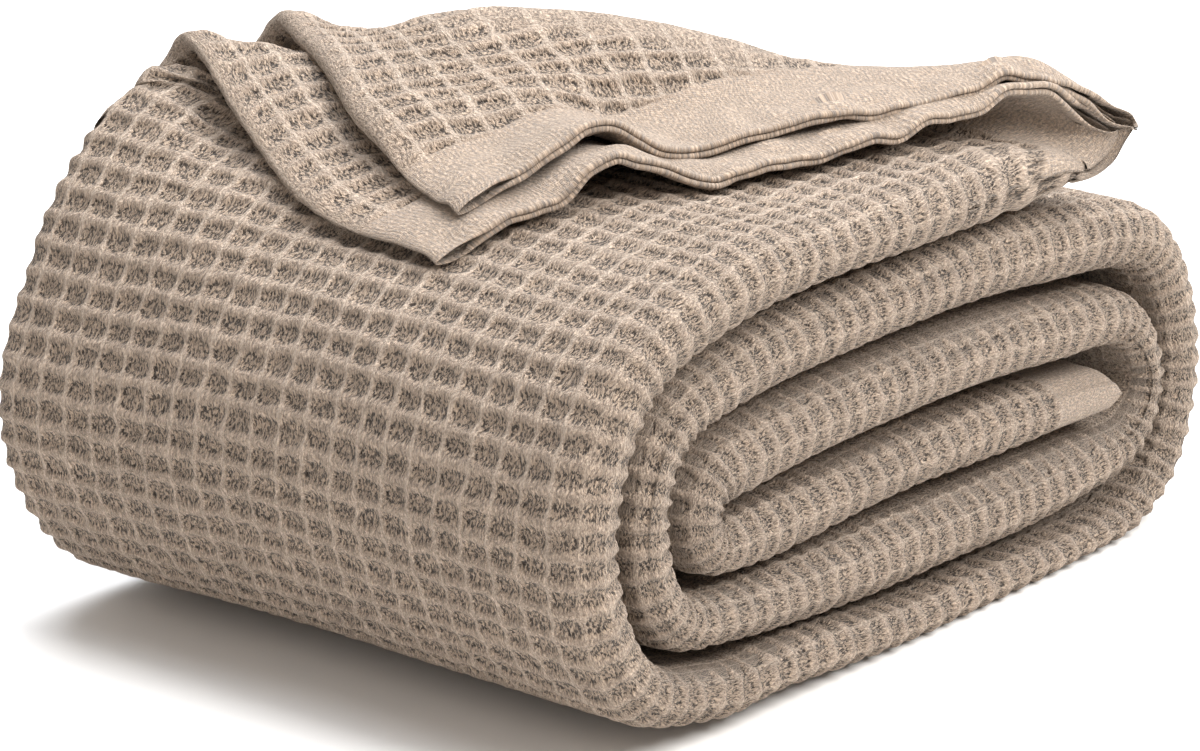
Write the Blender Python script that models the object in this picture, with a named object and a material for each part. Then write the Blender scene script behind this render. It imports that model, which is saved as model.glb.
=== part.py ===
"""Waffle weave cotton blanket, folded to eight leaves across and wound flat in six runs.

The cloth is one piece, so the model is one closed solid. X runs across the flat winding,
Y along the roll's axis and Z up. The front end (-Y) shows one large rounded fold on every
run; the back end (+Y) shows the two folds behind it. The outer end of the winding, the top
run, has its back corner turned over diagonally, so its two bundles of leaves curl up along
the turn and lie back over the top with their plain hems forward.
"""

import math

import bpy
import numpy as np
from mathutils import Color

# Driving dimensions, in metres.
PACK_DEPTH = 0.288  # from the front folds to the back folds
LEAVES = 8
LEAF = 0.0041  # one waffle leaf, relaxed
LAYER = LEAVES * LEAF  # one wound run
BUNDLE = LAYER / 2
RUN_GAP = 0.0016  # air left between neighbouring runs
FRONT = -PACK_DEPTH / 2
BACK = PACK_DEPTH / 2
CENTRING = (-0.0007, -0.0009, 0.0)  # brings the middle of the whole pack over the origin
FLOOR_MIDDLE = 0.0185  # a run whose middle is lower than this lies flat on the floor
FLOOR_SHARE = 0.62  # when that middle is also within this share of its thickness
OTHER_RUN = 3 * LAYER  # cloth this far away along the path belongs to another run
SETTLE_ROUNDS = 3

# The six straight runs, from the outer end in. Heights are of the run's middle.
# run, x_left, x_right, z_left, z_middle, z_right, thick_left, thick_middle, thick_right, proud
RUNS = (
    ("outer_end", -0.110, 0.046, 0.1720, 0.1733, 0.1727, 0.0335, 0.0315, 0.0325, 0.000),
    ("floor_run", -0.106, 0.146, 0.0140, 0.0094, 0.0080, 0.0280, 0.0188, 0.0160, 0.004),
    ("upper_run", -0.108, 0.098, 0.1380, 0.1412, 0.1362, 0.0340, 0.0345, 0.0330, -0.001),
    ("lower_run", -0.106, 0.116, 0.0428, 0.0372, 0.0352, 0.0300, 0.0370, 0.0350, 0.001),
    ("inner_run", -0.100, 0.108, 0.1040, 0.1064, 0.1000, 0.0345, 0.0365, 0.0335, 0.000),
    ("core_end", -0.100, 0.146, 0.0715, 0.0722, 0.0648, 0.0290, 0.0310, 0.0265, -0.002),
)

# The five bends between them. Fullness is how square the bend is, before and after its reach.
# bend, x_reach, z_reach, thick, full_before, full_after, back_proud
BENDS = (
    ("outer_left", -0.1915, 0.0960, 0.0345, 0.72, 0.74, 0.009),
    ("outer_right", 0.1962, 0.0620, 0.0275, 0.77, 0.71, 0.002),
    ("middle_left", -0.1605, 0.0960, 0.0285, 0.74, 0.76, 0.003),
    ("inner_right", 0.1715, 0.0640, 0.0205, 0.78, 0.76, -0.001),
    ("core_left", -0.1290, 0.0880, 0.0280, 0.76, 0.76, 0.000),
)

# The turned-back corner: the upper bundle of the outer end (inner) is wrapped by the lower
# one (outer). The curl starts on a line from turn_front, at the front folds, to turn_back, at
# the back folds, and bows to the right at the front and to the left at the back. The hem lies
# between hem_front and hem_back before the corner is turned.
# bundle, side, turn_front, turn_back, hem_front, hem_back, bow_front, bow_back
FLAPS = (
    ("inner", 1, 0.091, -0.1035, 0.117, 0.0995, 0.022, 0.012),
    ("outer", -1, 0.086, -0.069, 0.132, 0.176, 0.026, 0.015),
)
# The curl is an oval, reach wide and rise high; along is the share of the turn from the front.
# bundle, along, reach, rise, thick
CURLS = (
    ("inner", 0.0, 0.0120, 0.0100, 0.0125),
    ("inner", 0.4, 0.0105, 0.0072, 0.0096),
    ("inner", 1.0, 0.0062, 0.0070, 0.0096),
    ("outer", 0.0, 0.0250, 0.0245, 0.0155),
    ("outer", 0.4, 0.0305, 0.0222, 0.0130),
    ("outer", 1.0, 0.0180, 0.0165, 0.0120),
)
ROOT_FRONT = 0.030  # where the bundles leave the outer run, inside it
ROOT_BACK = -0.146
CUT_FRONT = 0.066  # where the outer run itself ends, a little short of the turn
CUT_BACK = -0.126
ROOT_INSET = 0.0012  # keeps a bundle's faces off the outer run's own while inside it
NEAR = 0.0005  # step for finding which way a bundle faces
BOW_RUN = 0.036  # how far before the turn a bow begins
RIDGE_Y = (-0.050, 0.050)  # the ridge's bow sets in between these, once it is turned
RIDGE_START_Y = -0.020  # and behind this, before it is turned
CURL_THINS = (-0.3, 0.2)  # where a bundle thins into its curl, as shares of the curl
CURL_OPENS = 0.8  # the share of the curl after which it starts coming down
ROOT_EMERGES = (0.3, 1.2)  # grid rows over which a bundle comes out of the run
CURL_SHARE = 0.7  # the most of a short bundle's length that the curl's rows may take
BOW_DEPTH = 0.110  # how far from the front folds the front bow reaches
SETTLE = 0.060  # how far past the curl a bundle comes to rest
REST_GAP = 0.0017  # air under the turned corner where it lies
HEM_BAND = 0.046  # the plain woven band along the cut ends
HEM_THINS = (-1.5 * HEM_BAND, -0.8 * HEM_BAND)  # where a bundle thins towards its band
HUMP_REACH = 2.2 * HEM_BAND  # how far a hump runs in from the hem
HEM_STEP = 0.012  # how much further out the lower hem lies than the upper one
HEM_BUNDLE = LEAVES / 2 * 0.0014  # a bundle of four plain woven leaves
HEM_FOLD = 0.0120  # and of one that is folded over at the front
HEM_FOLD_REACH = 0.055  # how far from the front folds that fullness goes
HEM_CORNER = 0.014  # rounding of the hem's corner at the front folds
NOSE_CLOSE = 0.0030  # how much the bundles meet in the front fold
SEAM_SHARE = 0.97  # a bundle's face towards the other, as a share of its half thickness

# The back of the outer run stands up towards the turned corner and comes down again past it.
LIFT = 0.028
LIFT_FRONT_Y = 0.010
LIFT_LEFT_X = -0.225
LIFT_FULL_X = -0.130
LIFT_LOW_Z = 0.085  # the run's middle rises fully from high_z, and not at all below low_z
LIFT_HIGH_Z = 0.160
LIFT_FALL_X = -0.098
LIFT_RIGHT_X = -0.035
LIFT_FALL = 0.40

# Soft humps of the turned hem, where air is left below it.
# along the hem, height, half width
HEM_HUMPS = (
    (-0.058, 0.0105, 0.022),
    (-0.106, 0.0030, 0.012),
    (0.020, 0.0025, 0.030),
)
HEM_WAY = (0.92, -0.39)  # the way the turned hem runs, in plan

STATION = 0.024  # spacing of the sections along a run, and round a bend
BEND_STATION = 0.0105
FRONT_ARC = 6  # steps round a front fold
BACK_ARC = 4  # steps round each back fold
SIDE_STEPS = 3  # steps between them
CUT_NOSE = 0.3  # how far the turned run's cut edge rounds, as a share of its half thickness
CUT_SQUARE = 0.5
FLAP_ROWS = (4, 8, 12)  # grid rows inside the run, round the curl and on the corner
FLAP_COLUMNS = (4, 12, 4)  # grid columns at the front folds, between and at the back folds
BACK_ROUND = 1.2  # how far round the back folds of a bundle go, as an angle
COTTON = (0.50, 0.40, 0.31)
ROUGHNESS = 0.95


def clear_scene():
    for obj in list(bpy.data.objects):
        bpy.data.objects.remove(obj, do_unlink=True)


def cotton():
    material = bpy.data.materials.new("waffle_cotton")
    material.use_nodes = True
    shader = material.node_tree.nodes["Principled BSDF"]
    shader.inputs["Base Color"].default_value = (*Color(COTTON), 1.0)
    shader.inputs["Roughness"].default_value = ROUGHNESS
    shader.inputs["Metallic"].default_value = 0.0
    return material


def run_points(row, leftward):
    """The run's three guide points, in winding order: x, z, thickness, front and back proud."""
    _, x_left, x_right, z_left, z_middle, z_right, t_left, t_middle, t_right, proud = row
    points = [
        (x_right, z_right, t_right, proud, 0.0),
        ((x_left + x_right) / 2, z_middle, t_middle, proud, 0.0),
        (x_left, z_left, t_left, proud, 0.0),
    ]
    return points if leftward else points[::-1]


def bend_points(bend, before, after):
    """A bend's guide points: a shoulder, the reach and a shoulder."""
    _, x_reach, z_reach, thick, full_before, full_after, back_proud = bend

    def shoulder(end, full):
        return (
            end[0] + (x_reach - end[0]) * full,
            z_reach + (end[1] - z_reach) * full,
            (end[2] + thick) / 2,
            end[3] / 2,
            back_proud * full,
        )

    return [
        shoulder(before, full_before),
        (x_reach, z_reach, thick, 0.0, back_proud),
        shoulder(after, full_after),
    ]


def smooth_curve(points):
    """A centripetal Catmull-Rom curve through the points, sampled closer round the bends."""
    in_run = [i % 6 < 3 for i in range(len(points))]
    points = np.array(points)
    ends = np.vstack([2 * points[0] - points[1], points, 2 * points[-1] - points[-2]])
    knots = np.r_[0, np.cumsum(np.linalg.norm(np.diff(ends[:, :2], axis=0), axis=1) ** 0.5)]
    sampled = []
    for i in range(1, len(ends) - 2):
        p0, p1, p2, p3 = ends[i - 1 : i + 3]
        t0, t1, t2, t3 = knots[i - 1 : i + 3]
        straight = in_run[i - 1] and in_run[i]
        spacing = STATION if straight else BEND_STATION
        steps = max(1, round(np.linalg.norm(p2[:2] - p1[:2]) / spacing))
        for t in np.linspace(t1, t2, steps, endpoint=False):
            a1 = (t1 - t) / (t1 - t0) * p0 + (t - t0) / (t1 - t0) * p1
            a2 = (t2 - t) / (t2 - t1) * p1 + (t - t1) / (t2 - t1) * p2
            a3 = (t3 - t) / (t3 - t2) * p2 + (t - t2) / (t3 - t2) * p3
            b1 = (t2 - t) / (t2 - t0) * a1 + (t - t0) / (t2 - t0) * a2
            b2 = (t3 - t) / (t3 - t1) * a2 + (t - t1) / (t3 - t1) * a3
            sampled.append((t2 - t) / (t2 - t1) * b1 + (t - t1) / (t2 - t1) * b2)
    return np.array([*sampled, points[-1]])


def guide_points():
    """The winding's guide points, outer end first."""
    ends = [run_points(row, i % 2 == 0) for i, row in enumerate(RUNS)]
    points = []
    for i, run in enumerate(ends):
        points += run
        if i < len(BENDS):
            points += bend_points(BENDS[i], run[-1], ends[i + 1][0])
    return points


def normals_of(centre):
    """Unit normals of the path in the XZ plane, to the left of the way it runs."""
    along = np.gradient(centre, axis=0)
    along /= np.linalg.norm(along, axis=1)[:, None]
    return np.stack([-along[:, 1], along[:, 0]], axis=1)


def settled_thickness(centre, thick):
    """The thickness that leaves RUN_GAP to the runs on both sides."""
    start, step = centre[:-1], np.diff(centre, axis=0)
    length = np.linalg.norm(step, axis=1)
    along = np.r_[0, np.cumsum(length)]
    thick = thick.copy()
    for _ in range(SETTLE_ROUNDS):
        for i, point in enumerate(centre):
            share = ((point - start) * step).sum(axis=1) / length**2
            share = np.clip(share, 0, 1)
            distance = np.linalg.norm(start + step * share[:, None] - point, axis=1)
            other = thick[:-1] + np.diff(thick) * share
            room = 2 * (distance - RUN_GAP) * thick[i] / (thick[i] + other)
            far = np.abs(along[:-1] + length * share - along[i]) > OTHER_RUN
            thick[i] = min(thick[i], room[far].min())
    return thick


def winding():
    """The wound path: centre (x, z), unit normal, thickness, front and back proud."""
    path = smooth_curve(guide_points())
    centre, thick = path[:, :2], path[:, 2]
    thick = settled_thickness(centre, thick)
    floor = (centre[:, 1] < thick * FLOOR_SHARE) & (centre[:, 1] < FLOOR_MIDDLE)
    centre[floor, 1] = thick[floor] / 2
    return centre, normals_of(centre), thick, path[:, 3], path[:, 4]


def smoothstep(value, start, end):
    share = np.clip((value - start) / (end - start), 0, 1)
    return share * share * (3 - 2 * share)


def lift(x, y):
    """How far the outer run's back stands up at (x, y)."""
    rise = smoothstep(x, LIFT_LEFT_X, LIFT_FULL_X)
    rise = rise * (1 - LIFT_FALL * smoothstep(x, LIFT_FALL_X, LIFT_RIGHT_X))
    return LIFT * rise * smoothstep(y, LIFT_FRONT_Y, BACK)


def along_turn(y, at_front, at_back):
    """The x at y of a straight line from at_front, at the front folds, to at_back."""
    return at_front + (at_back - at_front) * (y - FRONT) / PACK_DEPTH


def back_limit(x):
    """Where a section of the outer end stops, because its corner is turned over."""
    if x < CUT_BACK:
        return BACK
    return FRONT + PACK_DEPTH * (CUT_FRONT - x) / (CUT_FRONT - CUT_BACK)


def section_ring(thick, front, back, whole_back):
    """One closed section as (across, y) pairs: a front fold, then two back folds."""
    half = thick / 2
    ring = []
    for i in range(FRONT_ARC + 1):
        angle = math.pi * i / FRONT_ARC
        ring.append((-half * math.cos(angle), front + half - half * math.sin(angle)))
    end = []
    quarter = thick / 4
    nose = half * CUT_NOSE
    for i in range(2 * BACK_ARC + 1):
        angle = math.pi * i / BACK_ARC
        if whole_back:
            centre = quarter if i <= BACK_ARC else -quarter
            across = centre + quarter * math.cos(angle % math.pi if i < BACK_ARC else angle)
            if i > BACK_ARC:
                across = centre - quarter * math.cos(angle)
            end.append((across, back - quarter + quarter * abs(math.sin(angle))))
        else:
            turn = math.cos(angle / 2)
            across = half * math.copysign(abs(turn) ** CUT_SQUARE, turn)
            end.append((across, back - nose + nose * math.sin(angle / 2)))
    sides = [(i + 1) / (SIDE_STEPS + 1) for i in range(SIDE_STEPS)]
    near, far = ring[-1][1], end[0][1]
    ring += [(half, near + (far - near) * share) for share in sides]
    ring += end
    return ring + [(-half, far + (near - far) * share) for share in sides]


def mesh_object(name, vertices, faces, material):
    mesh = bpy.data.meshes.new(name)
    mesh.from_pydata([tuple(v) for v in np.array(vertices) + CENTRING], [], faces)
    mesh.validate()
    mesh.shade_smooth()
    mesh.materials.append(material)
    obj = bpy.data.objects.new(name, mesh)
    bpy.context.scene.collection.objects.link(obj)
    return obj


def build_winding(material):
    """The wound run, swept section by section and closed at both ends."""
    centre, normal, thick, front_proud, back_proud = winding()
    outer_end = int(np.argmin(centre[: len(centre) // 4, 0]))
    vertices, rings = [], []
    for i, (x, z) in enumerate(centre):
        back = back_limit(x) if i < outer_end else BACK
        raised = smoothstep(z, LIFT_LOW_Z, LIFT_HIGH_Z) if i < outer_end else 0.0
        front = FRONT - front_proud[i]
        ring = section_ring(thick[i], front, back + back_proud[i], back == BACK)
        rings.append(range(len(vertices), len(vertices) + len(ring)))
        for across, y in ring:
            outward = across - lift(x, y) * raised
            height = max(z + normal[i, 1] * outward, 0.0)
            vertices.append((x + normal[i, 0] * outward, y, height))
    faces = []
    count = len(rings[0])
    for first, second in zip(rings, rings[1:]):
        for k in range(count):
            n = (k + 1) % count
            faces.append((first[k], second[k], second[n], first[n]))
    faces.append(tuple(rings[0]))
    faces.append(tuple(reversed(rings[-1])))
    return mesh_object("blanket", vertices, faces, material)


def outer_run():
    """The outer run as rows of x, middle z, thickness, then the x and z of its top."""
    centre, normal, thick, *_ = winding()
    count = int(np.argmin(centre[: len(centre) // 4, 0]))
    surface = centre[:count] - normal[:count] * thick[:count, None] / 2
    rows = np.column_stack([centre[:count], thick[:count], surface])
    return rows[np.argsort(rows[:, 0])]


def flap_rows():
    """Shares from the root to the hem: inside the run, round the curl, on the corner."""
    root, curl, corner = FLAP_ROWS
    inside = np.linspace(0, 1, root, endpoint=False)
    turning = 1 + np.linspace(0, 1, curl, endpoint=False)
    lying = 2 + np.linspace(0, 1, corner + 1)
    return np.concatenate([inside, turning, lying])


def flap_columns():
    """The y of each grid column, closer together where the folds round over."""
    front, middle, back = FLAP_COLUMNS
    first = FRONT + BUNDLE * (1 - np.cos(np.linspace(0, math.pi / 2, front, endpoint=False)))
    last = BACK - BUNDLE / 2 * (1 - np.sin(np.linspace(0, BACK_ROUND, back)))
    between = np.linspace(FRONT + BUNDLE, BACK - BUNDLE / 2, middle, endpoint=False)
    return np.concatenate([first, between, last])


def curl_size(flap, y):
    """The curl's reach, rise and thickness where the turn passes y."""
    stations = np.array([row[1:] for row in CURLS if row[0] == flap[0]])
    share = np.clip((y - FRONT) / PACK_DEPTH, 0, 1)
    return [np.interp(share, stations[:, 0], stations[:, i]) for i in (1, 2, 3)]


def hem_line(flap, y):
    """The x of the cut end at y, with its corner rounded at the front folds."""
    hem_front, hem_back = flap[4:6]
    corner = 1 - np.clip((y - FRONT) / HEM_CORNER, 0, 1)
    return along_turn(y, hem_front, hem_back) - HEM_CORNER * (1 - np.sqrt(1 - corner**2))


def to_hem(thick, hem, y):
    """The thickness of a bundle hem metres from its cut end, given its fullness elsewhere."""
    folded = 1 - smoothstep(y, FRONT, FRONT + HEM_FOLD_REACH)
    hem_thick = HEM_BUNDLE + (HEM_FOLD - HEM_BUNDLE) * folded
    return thick + (hem_thick - thick) * smoothstep(-hem, *HEM_THINS)


def flap_middle(flap, x, y, run):
    """Where a bundle's middle surface goes when its corner is turned over, and its thickness."""
    _, side, turn_front, turn_back, _, _, bow_front, bow_back = flap
    away = np.array([PACK_DEPTH, turn_front - turn_back])
    away /= np.linalg.norm(away)
    past = (x - along_turn(y, turn_front, turn_back)) * away[0]
    line_x, line_y = x - past * away[0], y - past * away[1]
    reach, rise, curl_thick = curl_size(flap, line_y)
    arc = math.pi * np.sqrt((reach**2 + rise**2) / 2)
    angle = np.clip(past / arc, 0, 1) * math.pi
    over = np.maximum(past - arc, 0)
    out = np.where(past > 0, reach * np.sin(angle) - over, past)
    place_x, place_y = line_x + out * away[0], line_y + out * away[1]
    to_turn = smoothstep(past, -BOW_RUN, 0)
    bow = bow_front * (1 - smoothstep(line_y, FRONT, FRONT + BOW_DEPTH))
    ridge = smoothstep(place_y, *RIDGE_Y) * smoothstep(y, RIDGE_START_Y, BACK)
    bow = bow - bow_back * ridge
    place_x = place_x + bow * to_turn

    run_thick = np.interp(x, run[:, 0], run[:, 2])
    flat = np.interp(x, run[:, 0], run[:, 1]) + side * run_thick / 4
    turned = past > 0
    lifted = lift(np.where(turned, line_x + bow, place_x), np.where(turned, line_y, place_y))
    curled = flat + lifted + rise * (1 - np.cos(angle))
    hem = (hem_line(flap, y) - x) * away[0]
    full = run_thick / 2
    full = full + (curl_thick - full) * smoothstep(past / arc, *CURL_THINS)
    thick = to_hem(full, hem, y)
    below = 0 if side > 0 else to_hem(full, hem + HEM_STEP, y) + REST_GAP
    surface = np.interp(place_x, run[:, 3], run[:, 4]) + lift(place_x, place_y)
    hem_at = place_x * HEM_WAY[0] + place_y * HEM_WAY[1]
    hump = sum(h * np.exp(-(((hem_at - at) / wide) ** 2)) for at, h, wide in HEM_HUMPS)
    hump = hump * smoothstep(-hem, -HUMP_REACH, 0)
    rest = surface + REST_GAP + below + thick / 2 + hump
    down = smoothstep(past, CURL_OPENS * arc, arc + SETTLE)
    return np.stack([place_x, place_y, curled + (rest - curled) * down], axis=-1), thick


def build_flap(flap, run, material):
    """One bundle of the turned-back corner, as a closed helper body."""
    name, side, turn_front, turn_back = flap[:4]
    rows, columns = np.meshgrid(flap_rows(), flap_columns(), indexing="ij")
    root = along_turn(columns, ROOT_FRONT, ROOT_BACK)
    start = along_turn(columns, turn_front, turn_back)
    hem = hem_line(flap, columns)
    slope = math.hypot(PACK_DEPTH, turn_front - turn_back) / PACK_DEPTH
    reach, rise, _ = curl_size(flap, columns)
    finish = start + math.pi * np.maximum(reach, rise) * slope
    finish = np.minimum(finish, start + CURL_SHARE * (hem - start))
    x = np.select(
        [rows < 1, rows < 2],
        [root + (start - root) * rows, start + (finish - start) * (rows - 1)],
        finish + (hem - finish) * (rows - 2),
    )
    middle, thick = flap_middle(flap, x, columns, run)
    along = flap_middle(flap, x + NEAR, columns, run)[0] - middle
    wide = flap_middle(flap, x, columns + NEAR, run)[0] - middle
    normal = np.cross(along, wide)
    normal /= np.linalg.norm(normal, axis=-1)[..., None]
    inset = ROOT_INSET * (1 - smoothstep(rows, *ROOT_EMERGES))
    near = np.clip((columns - FRONT) / BUNDLE, 0, 1)
    round_front = np.sqrt(1 - (1 - near) ** 2)
    far = np.clip((BACK - columns) / (BUNDLE / 2), 0, 1)
    round_back = np.sqrt(1 - (1 - far) ** 2)
    outer_face = (thick / 2 - inset) * round_back
    seam_face = outer_face * SEAM_SHARE + NOSE_CLOSE * (1 - near)
    outer_face = outer_face * (2 * round_front - 1)
    above, beneath = (outer_face, seam_face) if side > 0 else (seam_face, outer_face)
    upper = middle + normal * above[..., None]
    lower = middle - normal * beneath[..., None]
    high, wide_count = rows.shape
    vertices = np.concatenate([upper.reshape(-1, 3), lower.reshape(-1, 3)])

    def at(i, j, layer):
        return layer * high * wide_count + i * wide_count + j

    faces = []
    for i in range(high - 1):
        for j in range(wide_count - 1):
            quad = ((i, j), (i + 1, j), (i + 1, j + 1), (i, j + 1))
            faces.append(tuple(at(a, b, 0) for a, b in quad))
            faces.append(tuple(at(a, b, 1) for a, b in reversed(quad)))
    rim = [(i, 0) for i in range(high)]
    rim += [(high - 1, j) for j in range(1, wide_count)]
    rim += [(i, wide_count - 1) for i in range(high - 2, -1, -1)]
    rim += [(0, j) for j in range(wide_count - 2, 0, -1)]
    for (a, b), (c, d) in zip(rim, rim[1:] + rim[:1]):
        faces.append((at(c, d, 0), at(a, b, 0), at(a, b, 1), at(c, d, 1)))
    helper = mesh_object(f"{name}_bundle", vertices, faces, material)
    helper.hide_render = True
    helper.display_type = "WIRE"
    return helper


def join(body, helper):
    union = body.modifiers.new(helper.name, "BOOLEAN")
    union.operation = "UNION"
    union.solver = "EXACT"
    union.object = helper


def main():
    clear_scene()
    material = cotton()
    blanket = build_winding(material)
    run = outer_run()
    for flap in FLAPS:
        join(blanket, build_flap(flap, run, material))


main()
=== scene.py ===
"""Looks of the waffle weave cotton blanket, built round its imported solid.

The blanket is one sheet of cloth. It is folded to eight leaves across, wound flat in six runs,
and the back corner of its outer end is turned over on top. The sheet is built as it lies: the
faces that show carry the waffle cells as real relief, and the leaves pressed inside are plain.
"""

import logging  # noqa: E402
import math  # noqa: E402
from dataclasses import dataclass, field  # noqa: E402
from enum import Enum, IntEnum  # noqa: E402
from typing import NamedTuple  # noqa: E402

import bmesh  # noqa: E402
import bpy  # noqa: E402
import numpy as np  # noqa: E402
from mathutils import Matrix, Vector  # noqa: E402


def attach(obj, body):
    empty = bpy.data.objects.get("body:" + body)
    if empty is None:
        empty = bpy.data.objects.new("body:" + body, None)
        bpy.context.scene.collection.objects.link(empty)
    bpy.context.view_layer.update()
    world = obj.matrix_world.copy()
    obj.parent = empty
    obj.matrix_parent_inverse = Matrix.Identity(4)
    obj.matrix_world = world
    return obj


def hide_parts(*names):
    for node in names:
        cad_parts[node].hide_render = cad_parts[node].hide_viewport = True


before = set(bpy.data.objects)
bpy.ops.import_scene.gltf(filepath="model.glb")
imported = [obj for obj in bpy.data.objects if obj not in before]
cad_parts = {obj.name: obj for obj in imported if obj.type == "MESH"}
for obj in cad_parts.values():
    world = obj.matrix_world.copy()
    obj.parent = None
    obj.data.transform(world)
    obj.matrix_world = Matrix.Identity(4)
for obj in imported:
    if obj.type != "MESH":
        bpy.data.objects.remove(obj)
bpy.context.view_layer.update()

Socket = bpy.types.NodeSocket
Tree = bpy.types.NodeTree
Pair = tuple[float, float]
Triple = tuple[float, float, float]
Level = tuple[float, float, float, float]

LOG = logging.getLogger("blanket")
BODY = "root"
CAD_NODE = "blanket"

# The folded and wound cloth, in metres, as in the solid.
PACK_DEPTH = 0.288
FRONT = -PACK_DEPTH / 2
BACK = PACK_DEPTH / 2
LEAF = 0.0041
LEAVES = 8
LAYER = LEAVES * LEAF
BUNDLE = LAYER / 2
FLAT_SIDE = 2.286
CENTRING = np.array([-0.0007, -0.0009, 0.0])
FLAT_REACH = PACK_DEPTH - 1.5 * BUNDLE  # a run's flat, between its front and its back folds

HALF_TURN = math.pi
QUARTER_TURN = math.pi / 2
MM_PER_M = 1000.0
TINY = 1e-12
NOISE_POINTS = 128  # lattice points each way in the cloth's smooth unevenness
NOISE_ORIGIN = (40.3, 51.7)  # where the cloth's own origin lies on that lattice
FROM_ROOT = -1.0  # a strip that starts here starts on the root line of the turned corner
EASED = {"interpolation_type": "SMOOTHSTEP"}


class Half(Enum):
    """Which half of a run a face belongs to: the one away from the winding's middle, or not."""

    OUTWARD = 1
    INWARD = -1


class Weave(Enum):
    """How a piece is woven: as a waffle with hem bands, or plain where it never shows."""

    WAFFLE = "waffle"
    HIDDEN = "hidden"


class Seed(IntEnum):
    """Which pattern each unevenness of the cloth draws."""

    WANDER_ALONG = 1
    WANDER_ACROSS = 2
    JITTER_ALONG = 3
    JITTER_ACROSS = 4
    LUMP = 5
    HOLLOW = 6
    SAG = 11
    PINCH = 12
    RUMPLE = 20
    LONG_RUMPLE = 25


def eased(share: np.ndarray) -> np.ndarray:
    """A share from 0 to 1, eased at both ends."""
    return share * share * (3 - 2 * share)


def smoothstep(value: np.ndarray, start: float, end: float) -> np.ndarray:
    """Eases from 0 at start to 1 at end.

    Args:
        value: where to read the step.
        start: the value at which it leaves 0.
        end: the value at which it reaches 1.

    Returns:
        The step, between 0 and 1.
    """
    return eased(np.clip((value - start) / (end - start), 0, 1))


def windows(values: np.ndarray, reach: int) -> np.ndarray:
    """For each value, a row of those up to reach places before and after it."""
    spread = np.pad(values, reach, mode="edge")
    return np.lib.stride_tricks.sliding_window_view(spread, 2 * reach + 1)


def soft_noise(a: np.ndarray, b: np.ndarray, spacing: float, seed: int) -> np.ndarray:
    """Smooth unevenness over two coordinates, the same on every run.

    Args:
        a: first coordinate, in metres.
        b: second coordinate, in metres.
        spacing: distance between its bumps, in metres.
        seed: picks the pattern.

    Returns:
        Values from -1 to 1.
    """
    size = NOISE_POINTS
    lattice = np.random.default_rng(seed).uniform(-1, 1, (size, size))
    p, q = a / spacing + NOISE_ORIGIN[0], b / spacing + NOISE_ORIGIN[1]
    i, j = np.floor(p).astype(int), np.floor(q).astype(int)
    u, v = eased(p - i), eased(q - j)
    i0, i1, j0, j1 = i % size, (i + 1) % size, j % size, (j + 1) % size
    low = lattice[i0, j0] * (1 - u) + lattice[i1, j0] * u
    high = lattice[i0, j1] * (1 - u) + lattice[i1, j1] * u
    return low * (1 - v) + high * v


@dataclass(frozen=True)
class StraightRun:
    """One straight run of the winding. Heights are of the run's middle."""

    x_left: float
    x_right: float
    z_left: float
    z_middle: float
    z_right: float
    thick_left: float
    thick_middle: float
    thick_right: float
    proud: float

    def guides(self, leftward: bool) -> list[tuple[float, ...]]:
        """The run's guide points in winding order.

        Args:
            leftward: whether the winding goes towards -X here.

        Returns:
            Rows of x, z, thickness, front proud and back proud.
        """
        middle = (self.x_left + self.x_right) / 2
        points = [
            (self.x_right, self.z_right, self.thick_right, self.proud, 0.0),
            (middle, self.z_middle, self.thick_middle, self.proud, 0.0),
            (self.x_left, self.z_left, self.thick_left, self.proud, 0.0),
        ]
        return points if leftward else points[::-1]


@dataclass(frozen=True)
class Bend:
    """A bend between two runs. Fullness is how square it is before and after its reach."""

    x_reach: float
    z_reach: float
    thick: float
    full_before: float
    full_after: float
    back_proud: float

    def guides(self, before: tuple[float, ...], after: tuple[float, ...]) -> list:
        """The bend's shoulder, reach and shoulder.

        Args:
            before: the last guide point of the run that comes before.
            after: the first guide point of the run that comes after.

        Returns:
            Three rows of x, z, thickness, front proud and back proud.
        """
        rows = []
        for end, full in ((before, self.full_before), (after, self.full_after)):
            rows.append(
                (
                    end[0] + (self.x_reach - end[0]) * full,
                    self.z_reach + (end[1] - self.z_reach) * full,
                    (end[2] + self.thick) / 2,
                    end[3] / 2,
                    self.back_proud * full,
                )
            )
        reach = (self.x_reach, self.z_reach, self.thick, 0.0, self.back_proud)
        return [rows[0], reach, rows[1]]


class Station(NamedTuple):
    """The winding at some places along it."""

    x: np.ndarray
    z: np.ndarray
    normal_x: np.ndarray
    normal_z: np.ndarray
    thick: np.ndarray
    front_proud: np.ndarray
    back_proud: np.ndarray


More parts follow.
